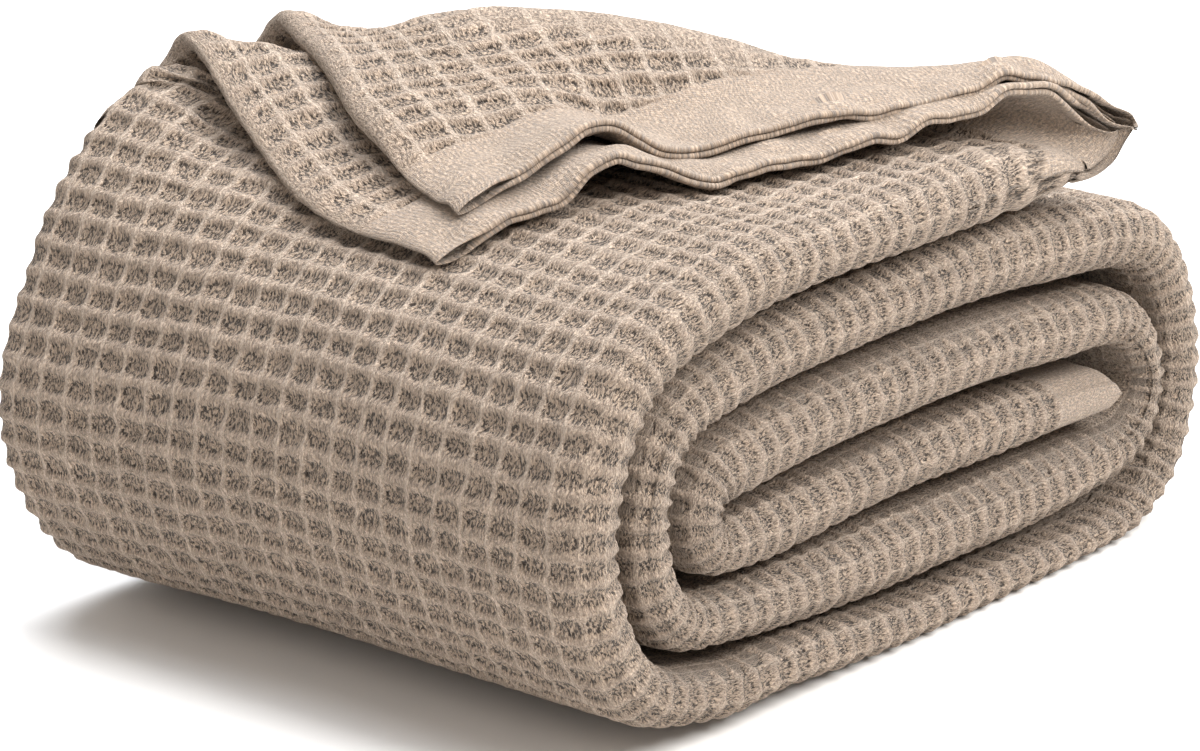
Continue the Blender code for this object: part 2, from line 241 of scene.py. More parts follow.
@dataclass
class WoundPath:
    """The path that the folded cloth is wound along, outer end first."""

    runs: tuple[StraightRun, ...] = (
        StraightRun(-0.110, 0.046, 0.1720, 0.1733, 0.1727, 0.0335, 0.0315, 0.0325, 0.000),
        StraightRun(-0.106, 0.146, 0.0140, 0.0094, 0.0080, 0.0280, 0.0188, 0.0160, 0.004),
        StraightRun(-0.108, 0.098, 0.1380, 0.1412, 0.1362, 0.0340, 0.0345, 0.0330, -0.001),
        StraightRun(-0.106, 0.116, 0.0428, 0.0372, 0.0352, 0.0300, 0.0370, 0.0350, 0.001),
        StraightRun(-0.100, 0.108, 0.1040, 0.1064, 0.1000, 0.0345, 0.0365, 0.0335, 0.000),
        StraightRun(-0.100, 0.146, 0.0715, 0.0722, 0.0648, 0.0290, 0.0310, 0.0265, -0.002),
    )
    bends: tuple[Bend, ...] = (
        Bend(-0.1915, 0.0960, 0.0345, 0.72, 0.74, 0.008),
        Bend(0.1960, 0.0655, 0.0275, 0.71, 0.765, 0.002),
        Bend(-0.1605, 0.0960, 0.0285, 0.74, 0.76, 0.003),
        Bend(0.1715, 0.0640, 0.0205, 0.78, 0.76, -0.001),
        Bend(-0.1290, 0.0880, 0.0280, 0.76, 0.76, 0.000),
    )
    spacing: float = 0.004
    # Neighbouring runs settle to this gap. Cloth is another run's where it is farther along
    # the path than other_run.
    gap: float = 0.0004
    other_run: float = 0.1
    settle_rounds: int = 3
    # A run whose middle is lower than both of these lies flat on the floor.
    floor_middle: float = 0.0185
    floor_share: float = 0.62
    soften: int = 3
    level_reach: int = 2
    step_reach: int = 4
    row_spacing: float = 0.0016
    # The cells crowd together by this share from the outer wrap's end inwards.
    crowding: float = 0.09
    crowded_from: Pair = (0.50, 0.95)
    rows: np.ndarray = field(init=False)
    along: np.ndarray = field(init=False)
    cloth: np.ndarray = field(init=False)
    stops: np.ndarray = field(init=False)
    outer_left: float = field(init=False)
    end: float = field(init=False)
    _left: int = field(init=False)

    def __post_init__(self) -> None:
        """Samples the path, settles its thickness and finds its normals."""
        path = self._smooth_curve()
        centre, thick = path[:, :2], self._settled(path[:, :2], path[:, 2])
        lying = (centre[:, 1] < thick * self.floor_share) & (centre[:, 1] < self.floor_middle)
        centre[lying, 1] = thick[lying] / 2
        level = windows(centre[:, 1], self.level_reach).mean(axis=1)
        near = windows(lying, self.step_reach)
        step = near.any(axis=1) & ~near.all(axis=1)
        centre[step, 1] = level[step]
        along = np.gradient(centre, axis=0)
        along /= np.linalg.norm(along, axis=1)[:, None]
        normal = np.stack([-along[:, 1], along[:, 0]], axis=1)
        self.rows = np.column_stack([centre, normal, thick, path[:, 3:5]])
        steps = np.linalg.norm(np.diff(centre, axis=0), axis=1)
        self.along = np.r_[0, np.cumsum(steps)]
        self.end = float(self.along[-1])
        first_quarter = centre[: len(centre) // 4, 0]
        left = int(np.argmin(first_quarter))
        self.outer_left = float(self.along[left])
        self._left = left
        face = centre - normal * self.rows[:, 4:5] / 2
        steps = np.linalg.norm(np.diff(face, axis=0), axis=1)
        steps *= 1 + self.crowding * smoothstep(self.along[1:], *self.crowded_from)
        self.cloth = np.r_[0, np.cumsum(steps)]
        first, last = np.interp([self.outer_left, self.end], self.along, self.cloth)
        even = np.linspace(first, last, round((last - first) / self.row_spacing) + 1)
        self.stops = np.interp(even, self.cloth, self.along)

    def _smooth_curve(self) -> np.ndarray:
        """A centripetal Catmull-Rom curve through the guide points, evenly sampled.

        Returns:
            Rows of x, z, thickness, front proud and back proud.
        """
        ends = [run.guides(i % 2 == 0) for i, run in enumerate(self.runs)]
        guides = []
        for i, run in enumerate(ends):
            guides += run
            if i < len(self.bends):
                guides += self.bends[i].guides(run[-1], ends[i + 1][0])
        points = np.array(guides)
        tips = np.vstack([2 * points[0] - points[1], points, 2 * points[-1] - points[-2]])
        spans = np.linalg.norm(np.diff(tips[:, :2], axis=0), axis=1)
        knots = np.r_[0, np.cumsum(spans**0.5)]
        sampled = []
        for i in range(1, len(tips) - 2):
            p0, p1, p2, p3 = tips[i - 1 : i + 3]
            t0, t1, t2, t3 = knots[i - 1 : i + 3]
            steps = max(2, round(float(spans[i]) / self.spacing))
            for t in np.linspace(t1, t2, steps, endpoint=False):
                a1 = (t1 - t) / (t1 - t0) * p0 + (t - t0) / (t1 - t0) * p1
                a2 = (t2 - t) / (t2 - t1) * p1 + (t - t1) / (t2 - t1) * p2
                a3 = (t3 - t) / (t3 - t2) * p2 + (t - t2) / (t3 - t2) * p3
                b1 = (t2 - t) / (t2 - t0) * a1 + (t - t0) / (t2 - t0) * a2
                b2 = (t3 - t) / (t3 - t1) * a2 + (t - t1) / (t3 - t1) * a3
                sampled.append((t2 - t) / (t2 - t1) * b1 + (t - t1) / (t2 - t1) * b2)
        return np.array([*sampled, points[-1]])

    def _settled(self, centre: np.ndarray, thick: np.ndarray) -> np.ndarray:
        """The thickness at which neighbouring runs just lie against each other.

        Args:
            centre: the path's x and z.
            thick: the thickness that each place asks for.

        Returns:
            The thickness that each place has room for.
        """
        start, step = centre[:-1], np.diff(centre, axis=0)
        length = np.linalg.norm(step, axis=1)
        along = np.r_[0, np.cumsum(length)]
        thick = thick.copy()
        for _ in range(self.settle_rounds):
            for i, point in enumerate(centre):
                share = np.clip(((point - start) * step).sum(axis=1) / length**2, 0, 1)
                distance = np.linalg.norm(start + step * share[:, None] - point, axis=1)
                other = thick[:-1] + np.diff(thick) * share
                room = 2 * (distance - self.gap) * thick[i] / (thick[i] + other)
                far = np.abs(along[:-1] + length * share - along[i]) > self.other_run
                thick[i] = min(thick[i], room[far].min())
            thick = np.minimum(thick, windows(thick, self.soften).mean(axis=1))
        return thick

    def at(self, s: np.ndarray) -> Station:
        """Reads the winding.

        Args:
            s: distances along the path from its outer end. Before it, the path runs straight on.

        Returns:
            The stations there.
        """
        columns = [np.interp(s, self.along, column) for column in self.rows.T]
        columns[0] = columns[0] + np.maximum(-s, 0)
        size = np.hypot(columns[2], columns[3])
        columns[2], columns[3] = columns[2] / size, columns[3] / size
        return Station(*columns)

    def cloth_along(self, s: np.ndarray) -> np.ndarray:
        """The distance along the cloth's outward face, which is longer round the bends."""
        return np.interp(s, self.along, self.cloth) + np.minimum(s, 0)

    def s_of_x(self, x: np.ndarray) -> np.ndarray:
        """The distance along the outer run at which its middle passes x.

        Args:
            x: where the outer run's middle passes.

        Returns:
            The distances.
        """
        run = self.rows[: self._left + 1]
        s = np.interp(x, run[::-1, 0], self.along[: self._left + 1][::-1])
        return s - np.maximum(x - run[0, 0], 0)

    def outer_run(self) -> np.ndarray:
        """The outer run, left to right, as rows of x, middle z, thickness, top x and top z.

        Returns:
            The rows, by x.
        """
        run = self.rows[: self._left]
        top = run[:, :2] - run[:, 2:4] * run[:, 4:5] / 2
        rows = np.column_stack([run[:, :2], run[:, 4], top])
        return rows[np.argsort(rows[:, 0])]


@dataclass(frozen=True)
class BackLift:
    """How the outer run's back stands up towards the turned corner, and comes down past it."""

    height: float = 0.028
    # It grows from front_y to the back, and from left_x to full_x.
    front_y: float = 0.010
    left_x: float = -0.191
    full_x: float = -0.127
    # Only cloth above low_z is lifted, and that above high_z in full.
    low_z: float = 0.085
    high_z: float = 0.160
    # Past fall_x it comes down by the share fall, until right_x.
    fall_x: float = -0.098
    right_x: float = -0.035
    fall: float = 0.40
    # A dent beside the turned corner: its x, its y and its reach.
    dent: float = 0.009
    dent_at: Triple = (-0.122, 0.096, 0.021)

    def at(self, x: np.ndarray, y: np.ndarray) -> np.ndarray:
        """The lift over a place in plan.

        Args:
            x: the place along the run.
            y: the place across it.

        Returns:
            How much higher the cloth lies there.
        """
        rise = smoothstep(x, self.left_x, self.full_x)
        rise = rise * (1 - self.fall * smoothstep(x, self.fall_x, self.right_x))
        dent_x, dent_y, reach = self.dent_at
        dent = self.dent * np.exp(-((x - dent_x) ** 2 + (y - dent_y) ** 2) / reach**2)
        return self.height * rise * smoothstep(y, self.front_y, BACK) - dent


class Columns(NamedTuple):
    """Places round one half of a run: round the front, across the flat, round the back."""

    front: np.ndarray
    flat: np.ndarray
    back: np.ndarray

    def joined(self, other: "Columns") -> "Columns":
        """These columns followed by others."""
        return Columns(*(np.concatenate(pair) for pair in zip(self, other)))

    def reversed(self) -> "Columns":
        """The same columns the other way."""
        return Columns(*(part[::-1] for part in self))

    def nominal_y(self) -> np.ndarray:
        """Their y where a run has its usual thickness.

        Returns:
            One y for each column.
        """
        nose = BUNDLE * (1 - np.cos(self.front))
        return FRONT + nose + self.flat * FLAT_REACH + BUNDLE / 2 * np.sin(self.back)

    def height(self) -> np.ndarray:
        """Their height in the bundle, from -1 at the seam face to 1 at the outer face."""
        return 2 * np.sin(self.front) - 2 + np.cos(self.back)


@dataclass(frozen=True)
class ColumnSet:
    """The columns that the pieces use, so that neighbours share their borders."""

    spacing: float = 0.0016
    front_flat: float = 0.050
    back_flat: float = 0.040

    def _span(self, start: float, end: float, length: float, spacing: float) -> np.ndarray:
        """Even steps from start to end, about spacing apart over that length."""
        return np.linspace(start, end, max(2, round(length / spacing)) + 1)

    def front(self, spacing: float) -> Columns:
        """From the middle of the front fold to a little way on to the flat.

        Args:
            spacing: distance between columns.

        Returns:
            The columns.
        """
        nose = self._span(0, QUARTER_TURN, QUARTER_TURN * BUNDLE, spacing)
        flat = self._span(0, self.front_flat, self.front_flat * PACK_DEPTH, spacing)[1:]
        zeros = np.zeros
        return Columns(nose, zeros(len(nose)), zeros(len(nose))).joined(
            Columns(np.full(len(flat), QUARTER_TURN), flat, zeros(len(flat)))
        )

    def middle(self, spacing: float) -> Columns:
        """Across the flat, between the front and the back columns.

        Args:
            spacing: distance between columns.

        Returns:
            The columns.
        """
        reach = (1 - self.front_flat - self.back_flat) * FLAT_REACH
        flat = self._span(self.front_flat, 1 - self.back_flat, reach, spacing)
        return Columns(np.full(len(flat), QUARTER_TURN), flat, np.zeros(len(flat)))

    def back(self, spacing: float) -> Columns:
        """From the flat round one back fold, to the crease between the two.

        Args:
            spacing: distance between columns.

        Returns:
            The columns.
        """
        flat = self._span(1 - self.back_flat, 1, self.back_flat * PACK_DEPTH, spacing)
        nose = self._span(0, HALF_TURN, HALF_TURN * BUNDLE / 2, spacing)[1:]
        whole = np.full(len(flat) + len(nose), QUARTER_TURN)
        return Columns(
            whole,
            np.concatenate([flat, np.ones(len(nose))]),
            np.concatenate([np.zeros(len(flat)), nose]),
        )


@dataclass(frozen=True)
class WaffleRelief:
    """Waffle cells: broad soft ribs along the roll's axis, thin cords across, sunken squares."""

    cell_along: float = 0.0120
    cell_across: float = 0.0132
    depth: float = 0.0021
    # In shares of a cell from its rib or cord: where that is full, and where its foot is.
    rib_full: float = 0.03
    rib_foot: float = 0.37
    cord_full: float = 0.01
    cord_foot: float = 0.20
    cord_height: float = 0.70
    cord_sunk: float = 0.45
    rib_wave: float = 0.05
    # How much, and over what length, the weave is uneven in depth, place and surface.
    uneven: float = 0.22
    uneven_spacing: float = 0.015
    wander: float = 0.0009
    wander_spacing: float = 0.035
    jitter: float = 0.0010
    jitter_spacing: float = 0.0080
    lump: float = 0.13
    lump_spacing: float = 0.0032
    highest: float = 1.1

    def woven(self, along: np.ndarray, across: np.ndarray) -> tuple[np.ndarray, np.ndarray]:
        """Moves a place on the even cloth to where the uneven weave has it.

        Args:
            along: distance along the winding, in metres.
            across: distance across the leaves, in metres.

        Returns:
            The two distances in the weave's own cells.
        """
        moved = []
        for place, wander, jitter in (
            (along, Seed.WANDER_ALONG, Seed.JITTER_ALONG),
            (across, Seed.WANDER_ACROSS, Seed.JITTER_ACROSS),
        ):
            place = place + self.wander * soft_noise(along, across, self.wander_spacing, wander)
            place = place + self.jitter * soft_noise(along, across, self.jitter_spacing, jitter)
            moved.append(place)
        return moved[0], moved[1]

    def height(self, along: np.ndarray, across: np.ndarray, tight: np.ndarray) -> np.ndarray:
        """The relief at a place in the weave.

        Args:
            along: distance along the winding, in metres.
            across: distance across the leaves, in metres.
            tight: how far the front folds stretch the cloth, which sinks its cords.

        Returns:
            0 at the bottom of a cell and 1 on its highest ribs.
        """
        wave = self.rib_wave * np.cos(2 * HALF_TURN * across / self.cell_across)
        rib_at = np.abs((along / self.cell_along) % 1 - 0.5)
        cord_at = np.abs((across / self.cell_across) % 1 - 0.5)
        rib = 1 - smoothstep(rib_at + wave, self.rib_full, self.rib_foot)
        cord = 1 - smoothstep(cord_at, self.cord_full, self.cord_foot)
        hollow = (1 - rib) * (1 - self.cord_height * cord * (1 - self.cord_sunk * tight))
        uneven = self.uneven * soft_noise(along, across, self.uneven_spacing, Seed.HOLLOW)
        hollow = hollow * (1 + uneven)
        lump = soft_noise(along, across, self.lump_spacing, Seed.LUMP)
        return np.clip(1 - hollow + self.lump * lump, 0, self.highest)


@dataclass(frozen=True)
class Cloth:
    """Turns a laid-out grid of cloth into a mesh with its relief and its flat coordinates."""

    relief: WaffleRelief = WaffleRelief()
    hem_band: float = 0.046
    hem_edge: float = 0.003
    # How high in the relief each kind of cloth lies.
    plain_height: float = 0.86
    pulled_height: float = 0.80
    hidden_height: float = 0.5
    proud: float = 0.05
    # The front folds stretch the cloth about the fold's tip, which flattens its relief.
    tight_flattens: float = 0.25
    fold_tip: float = -0.1534
    fold_reach: Pair = (0.012, 0.028)

    def dress(
        self,
        name: str,
        points: np.ndarray,
        along: np.ndarray,
        across: np.ndarray,
        to_hem: np.ndarray,
        weave: Weave,
        turned: bool,
        pulled: np.ndarray | float = 0.0,
    ) -> bpy.types.Object:
        """Builds one piece of the sheet.

        Args:
            name: the piece's name.
            points: its outer face, as rows by columns by 3.
            along: flat distance along the winding at each point.
            across: flat distance across the leaves at each point.
            to_hem: distance to the nearest cut end at each point.
            weave: whether it carries the waffle cells.
            turned: whether its outer face is on the far side of the grid.
            pulled: how far the cells are pulled flat, from 0 to 1.

        Returns:
            The piece.
        """
        pulled = np.broadcast_to(pulled, along.shape)
        plain = 1 - smoothstep(to_hem, self.hem_band - self.hem_edge, self.hem_band)
        tight = 1 - smoothstep(np.abs(across - self.fold_tip), *self.fold_reach)
        along, across = self.relief.woven(along, across)
        if weave is Weave.WAFFLE:
            height = self.relief.height(along, across, tight)
            height = height + (self.pulled_height - height) * pulled
            height = height + (self.plain_height - height) * plain
            outward = self.outward(points) * (-1 if turned else 1)
            sink = self.relief.depth * np.clip(1 - height, -self.proud, 1)
            sink = sink * (1 - self.tight_flattens * tight)
            points = points - outward * sink[..., None]
        else:
            height = np.full(along.shape, self.hidden_height)
        points = points.copy()
        points[..., 2] = np.maximum(points[..., 2], 0.0)
        marks = {"relief": height, "plain": plain, "pulled": pulled, "tight": tight}
        return self._mesh(name, points + CENTRING, along, across, marks, turned)

    def outward(self, points: np.ndarray) -> np.ndarray:
        """Unit normals of the grid.

        Args:
            points: the grid's points, as rows by columns by 3.

        Returns:
            The normals, in the points' order.
        """
        down, over = np.gradient(points, axis=0), np.gradient(points, axis=1)
        normal = np.cross(down, over)
        size = np.linalg.norm(normal, axis=-1, keepdims=True)
        return normal / np.maximum(size, TINY)

    def _mesh(
        self,
        name: str,
        points: np.ndarray,
        along: np.ndarray,
        across: np.ndarray,
        marks: dict[str, np.ndarray],
        turned: bool,
    ) -> bpy.types.Object:
        """A grid moved on to the points, with its flat coordinates as a UV map.

        Args:
            name: the piece's name.
            points: the grid's points, as rows by columns by 3.
            along: flat distance along the winding at each point.
            across: flat distance across the leaves at each point.
            marks: values at each point, by the name of their attribute.
            turned: whether the outer face is on the far side of the grid.

        Returns:
            The piece.
        """
        rows, columns = along.shape
        grid = bmesh.new()
        bmesh.ops.create_grid(grid, x_segments=rows - 1, y_segments=columns - 1, size=1.0)
        if turned:
            bmesh.ops.reverse_faces(grid, faces=grid.faces)
        mesh = bpy.data.meshes.new(name)
        grid.to_mesh(mesh)
        grid.free()
        flat = np.empty(len(mesh.vertices) * 3, np.float32)
        mesh.vertices.foreach_get("co", flat)
        flat = (flat.reshape(-1, 3) + 1) / 2
        i = np.rint(flat[:, 0] * (rows - 1)).astype(int)
        j = np.rint(flat[:, 1] * (columns - 1)).astype(int)
        mesh.vertices.foreach_set("co", points[i, j].astype(np.float32).ravel())
        corners = np.empty(len(mesh.loops), np.int32)
        mesh.loops.foreach_get("vertex_index", corners)
        places = np.stack([across[i, j], along[i, j]], axis=1).astype(np.float32)
        layer = mesh.uv_layers.new(name="flat_cloth")
        layer.uv.foreach_set("vector", places[corners].ravel())
        for label, values in marks.items():
            attribute = mesh.attributes.new(label, "FLOAT", "POINT")
            attribute.data.foreach_set("value", values[i, j].astype(np.float32))
        mesh.shade_smooth()
        mesh.update()
        piece = bpy.data.objects.new(name, mesh)
        bpy.context.scene.collection.objects.link(piece)
        return piece


@dataclass
class WoundBody:
    """The wound runs, from the line where the turned corner leaves them to the core end."""

    path: WoundPath
    lift: BackLift
    columns: ColumnSet
    # The root line's x at the front and at the back.
    root_front: float = 0.030
    root_back: float = -0.146
    bow: float = 0.0008
    core_round: float = 0.012
    # The belly of the outer left bend, at the back: past the bend, and its reach.
    belly: float = 0.008
    belly_at: Pair = (0.020, 0.052)
    overlap: float = 0.0015
    # The front folds pinch in between the runs, unevenly.
    pinch: float = 0.17
    pinch_starts: Pair = (0.9, 1.2)
    pinch_ends: Pair = (-0.124, -0.084)
    pinch_even: float = 0.7
    pinch_uneven: float = 0.5
    pinch_spacing: float = 0.05
    bow_spacing: float = 0.055
    # The front of the lowest run stands a little off the floor about this x.
    toe: float = 0.0042
    toe_at: Pair = (-0.085, 0.050)
    toe_depth: float = 0.04
    toe_heights: Pair = (0.012, 0.060)
    lift_steps: tuple[int, int] = (140, 48)
    lift_end: float = 0.34
    _extra: np.ndarray = field(init=False)

    def __post_init__(self) -> None:
        """Measures how much longer the cloth is where the back is lifted."""
        s = np.linspace(0, self.lift_end, self.lift_steps[0])[:, None]
        y = np.linspace(FRONT, BACK, self.lift_steps[1])[None, :]
        half = self.path.at(s).thick / 2
        faces = [self.seated(s, at_y, half + 0 * y) for at_y in (y, FRONT + 0 * y)]
        lengths = [np.linalg.norm(np.diff(face, axis=0), axis=-1) for face in faces]
        more = np.vstack([lengths[0] - lengths[1], 0 * y])
        self._extra = np.cumsum(more[::-1], axis=0)[::-1]

    def cloth_along(self, s: np.ndarray, y: np.ndarray) -> np.ndarray:
        """The distance along the cloth's outward face.

        Args:
            s: distance along the path.
            y: place across the run.

        Returns:
            The distance, counted from the bottom run, so that it grows slower over the lift.
        """
        root = self.path.s_of_x(self.root_x(y))
        row = np.clip(np.maximum(s, root) / self.lift_end, 0, 1) * (self.lift_steps[0] - 1)
        column = np.clip((y - FRONT) / PACK_DEPTH, 0, 1) * (self.lift_steps[1] - 1)
        row, column = np.broadcast_arrays(row, column)
        i = np.minimum(row.astype(int), self.lift_steps[0] - 2)
        j = np.minimum(column.astype(int), self.lift_steps[1] - 2)
        u, v = row - i, column - j
        near = self._extra[i, j] * (1 - v) + self._extra[i, j + 1] * v
        far = self._extra[i + 1, j] * (1 - v) + self._extra[i + 1, j + 1] * v
        return self.path.cloth_along(s) - near * (1 - u) - far * u

    def root_x(self, y: np.ndarray) -> np.ndarray:
        """The x of the line where the turned corner leaves the outer run."""
        return self.root_front + (self.root_back - self.root_front) * (y - FRONT) / PACK_DEPTH

    def place(
        self, s: np.ndarray, columns: Columns, half: Half, height: np.ndarray | None = None
    ) -> tuple[np.ndarray, np.ndarray]:
        """Where a face of the runs goes.

        Args:
            s: distance along the path, as rows by columns.
            columns: the places round the run.
            half: the half of the run that they are on.
            height: the height in the half, where it isn't the face's own.

        Returns:
            The points, and the flat distance across the leaves.
        """
        at = self.path.at(s)
        radius, quarter = at.thick / 2, at.thick / 4
        front, back = FRONT - at.front_proud, BACK + at.back_proud
        nose = front + radius
        flat = back - quarter - nose
        y = nose - radius * np.cos(columns.front) + columns.flat * flat
        y = y + quarter * np.sin(columns.back)
        outward = quarter * (1 + (columns.height() if height is None else height))
        uneven = self.pinch_uneven * soft_noise(s, 0 * s, self.pinch_spacing, Seed.PINCH)
        pinch = self.pinch * (self.pinch_even + uneven)
        if half is Half.OUTWARD:
            pinch = pinch * smoothstep(s, *self.pinch_starts)
        outward = outward * (1 - pinch * (1 - smoothstep(y, *self.pinch_ends)))
        across = nose - radius * (QUARTER_TURN - columns.front) + columns.flat * flat
        across = across + quarter * columns.back
        if half is Half.INWARD:
            across = 2 * (nose - radius * QUARTER_TURN) - across
        bow = soft_noise(s, across, self.bow_spacing, Seed.SAG) - 1
        sag = self.bow * bow * (outward > quarter)
        outward = np.maximum(outward + sag, 0) * half.value
        return self.seated(s, y, outward), across

    def seated(self, s: np.ndarray, y: np.ndarray, outward: np.ndarray) -> np.ndarray:
        """Where cloth lies, with the outer run's back lifted, its belly and its toe.

        Args:
            s: distance along the path.
            y: place across the run.
            outward: distance from the path's middle, away from the winding's own.

        Returns:
            The points.
        """
        at = self.path.at(s)
        past = 1 - np.clip((self.path.end - s) / self.core_round, 0, 1)
        outward = outward * np.sqrt(1 - past**3)
        raised = smoothstep(at.z, self.lift.low_z, self.lift.high_z) * (s < self.path.outer_left)
        outer = np.clip(outward / (at.thick / 2), 0, 1)
        outward = outward + self.lift.at(at.x, y) * raised
        off = (s - self.path.outer_left - self.belly_at[0]) / self.belly_at[1]
        outward = outward + self.belly * np.exp(-(off**2)) * smoothstep(y, 0.0, BACK) * outer
        x = at.x - at.normal_x * outward
        z = at.z - at.normal_z * outward
        off = (x - self.toe_at[0]) / self.toe_at[1]
        toe = self.toe * np.exp(-(off**2)) * (1 - smoothstep(y, FRONT, FRONT + self.toe_depth))
        z = z + toe * (1 - smoothstep(z, *self.toe_heights))
        return np.stack(np.broadcast_arrays(x, y, z), axis=-1)

    def rows(self, columns: Columns, start: float, end: float) -> np.ndarray:
        """Distances along the path for a piece: rows by columns.

        Rows that begin before the outer left bend start on the root line, whatever their column.

        Args:
            columns: the places round the run.
            start: where the piece begins, or less than 0 for the root line.
            end: where the piece ends.

        Returns:
            The distances. Pieces with the same end share their rows.
        """
        stops, left = self.path.stops, self.path.outer_left
        first, last = np.searchsorted(stops, [start, end])
        rest = stops[first : last + 1, None] + 0 * columns.flat
        if start >= left:
            return rest
        root = self.path.s_of_x(self.root_x(columns.nominal_y()) + self.overlap)
        longest = left - float(self.path.s_of_x(np.array(self.root_front)))
        lead = max(2, round(longest / self.path.row_spacing))
        share = np.linspace(0, 1, lead, endpoint=False)[:, None]
        return np.vstack([root + (left - root) * share, rest])


@dataclass(frozen=True)
class LeafStack:
    """The whole sheet as it is folded to and fro: eight leaves, in the order along the cloth.

    Each height is the leaf's place in the run, in leaves from the run's middle.
    """

    heights: tuple[float, ...] = (3.5, -3.5, -0.5, 0.5, 1.5, -1.5, -2.5, 2.5)
    cover: float = 0.0034
    flat_steps: int = 16
    fold_steps: int = 6
    row_step: int = 8
    end_gap: float = 0.004

    def _across(self) -> tuple[np.ndarray, np.ndarray, np.ndarray, np.ndarray]:
        """For each column of the sheet: its share of the flat, its fold's height, its two radii.

        Returns:
            The share from front to back, the height of the middle it lies or turns round, how
            far it is from that middle and how far it goes past the flat, in leaves.
        """
        share, middle, away, past = [], [], [], []
        for i, height in enumerate(self.heights):
            flat = np.linspace(0, 1, self.flat_steps)
            share.append(flat[::-1] if i % 2 == 0 else flat)
            middle.append(np.full(self.flat_steps, height))
            away.append(np.zeros(self.flat_steps))
            past.append(np.zeros(self.flat_steps))
            if i + 1 < len(self.heights):
                following = self.heights[i + 1]
                turn = np.linspace(0, HALF_TURN, self.fold_steps + 2)[1:-1]
                radius = (height - following) / 2
                share.append(np.full(len(turn), 0.0 if i % 2 == 0 else 1.0))
                middle.append(np.full(len(turn), (height + following) / 2))
                away.append(radius * np.cos(turn))
                way = -1 if i % 2 == 0 else 1
                past.append(way * abs(radius) * np.sin(turn))
        return tuple(np.concatenate(part) for part in (share, middle, away, past))

    def lay(self, body: WoundBody) -> tuple[np.ndarray, np.ndarray, np.ndarray]:
        """Lays the sheet along the winding, just under the faces that show.

        Args:
            body: the wound runs.

        Returns:
            The points, and the flat distances along and across.
        """
        share, middle, away, past = self._across()
        s, end = body.path.stops[:: self.row_step], body.path.end
        s = np.append(s[s < end - body.core_round / 2], end - self.end_gap)[:, None]
        at = body.path.at(s)
        leaf = (at.thick / 2 - self.cover) / max(self.heights)
        front = FRONT - at.front_proud + at.thick / 2
        back = BACK + at.back_proud - at.thick / 4
        y = front + share * (back - front) + past * leaf
        outward = (middle + away) * leaf
        points = body.seated(s, y, outward)
        across = np.linspace(0, FLAT_SIDE, len(share))
        along = body.path.cloth_along(s)
        return points, along + 0 * across, across + 0 * along


@dataclass(frozen=True)
class Curl:
    """The turned corner's curl at a share of the turn from the front: an oval."""

    along: float
    reach: float
    rise: float
    thick: float


@dataclass(frozen=True)
class Hump:
    """A soft hump of the turned hem, where air is left below it."""

    at: float
    height: float
    half_width: float


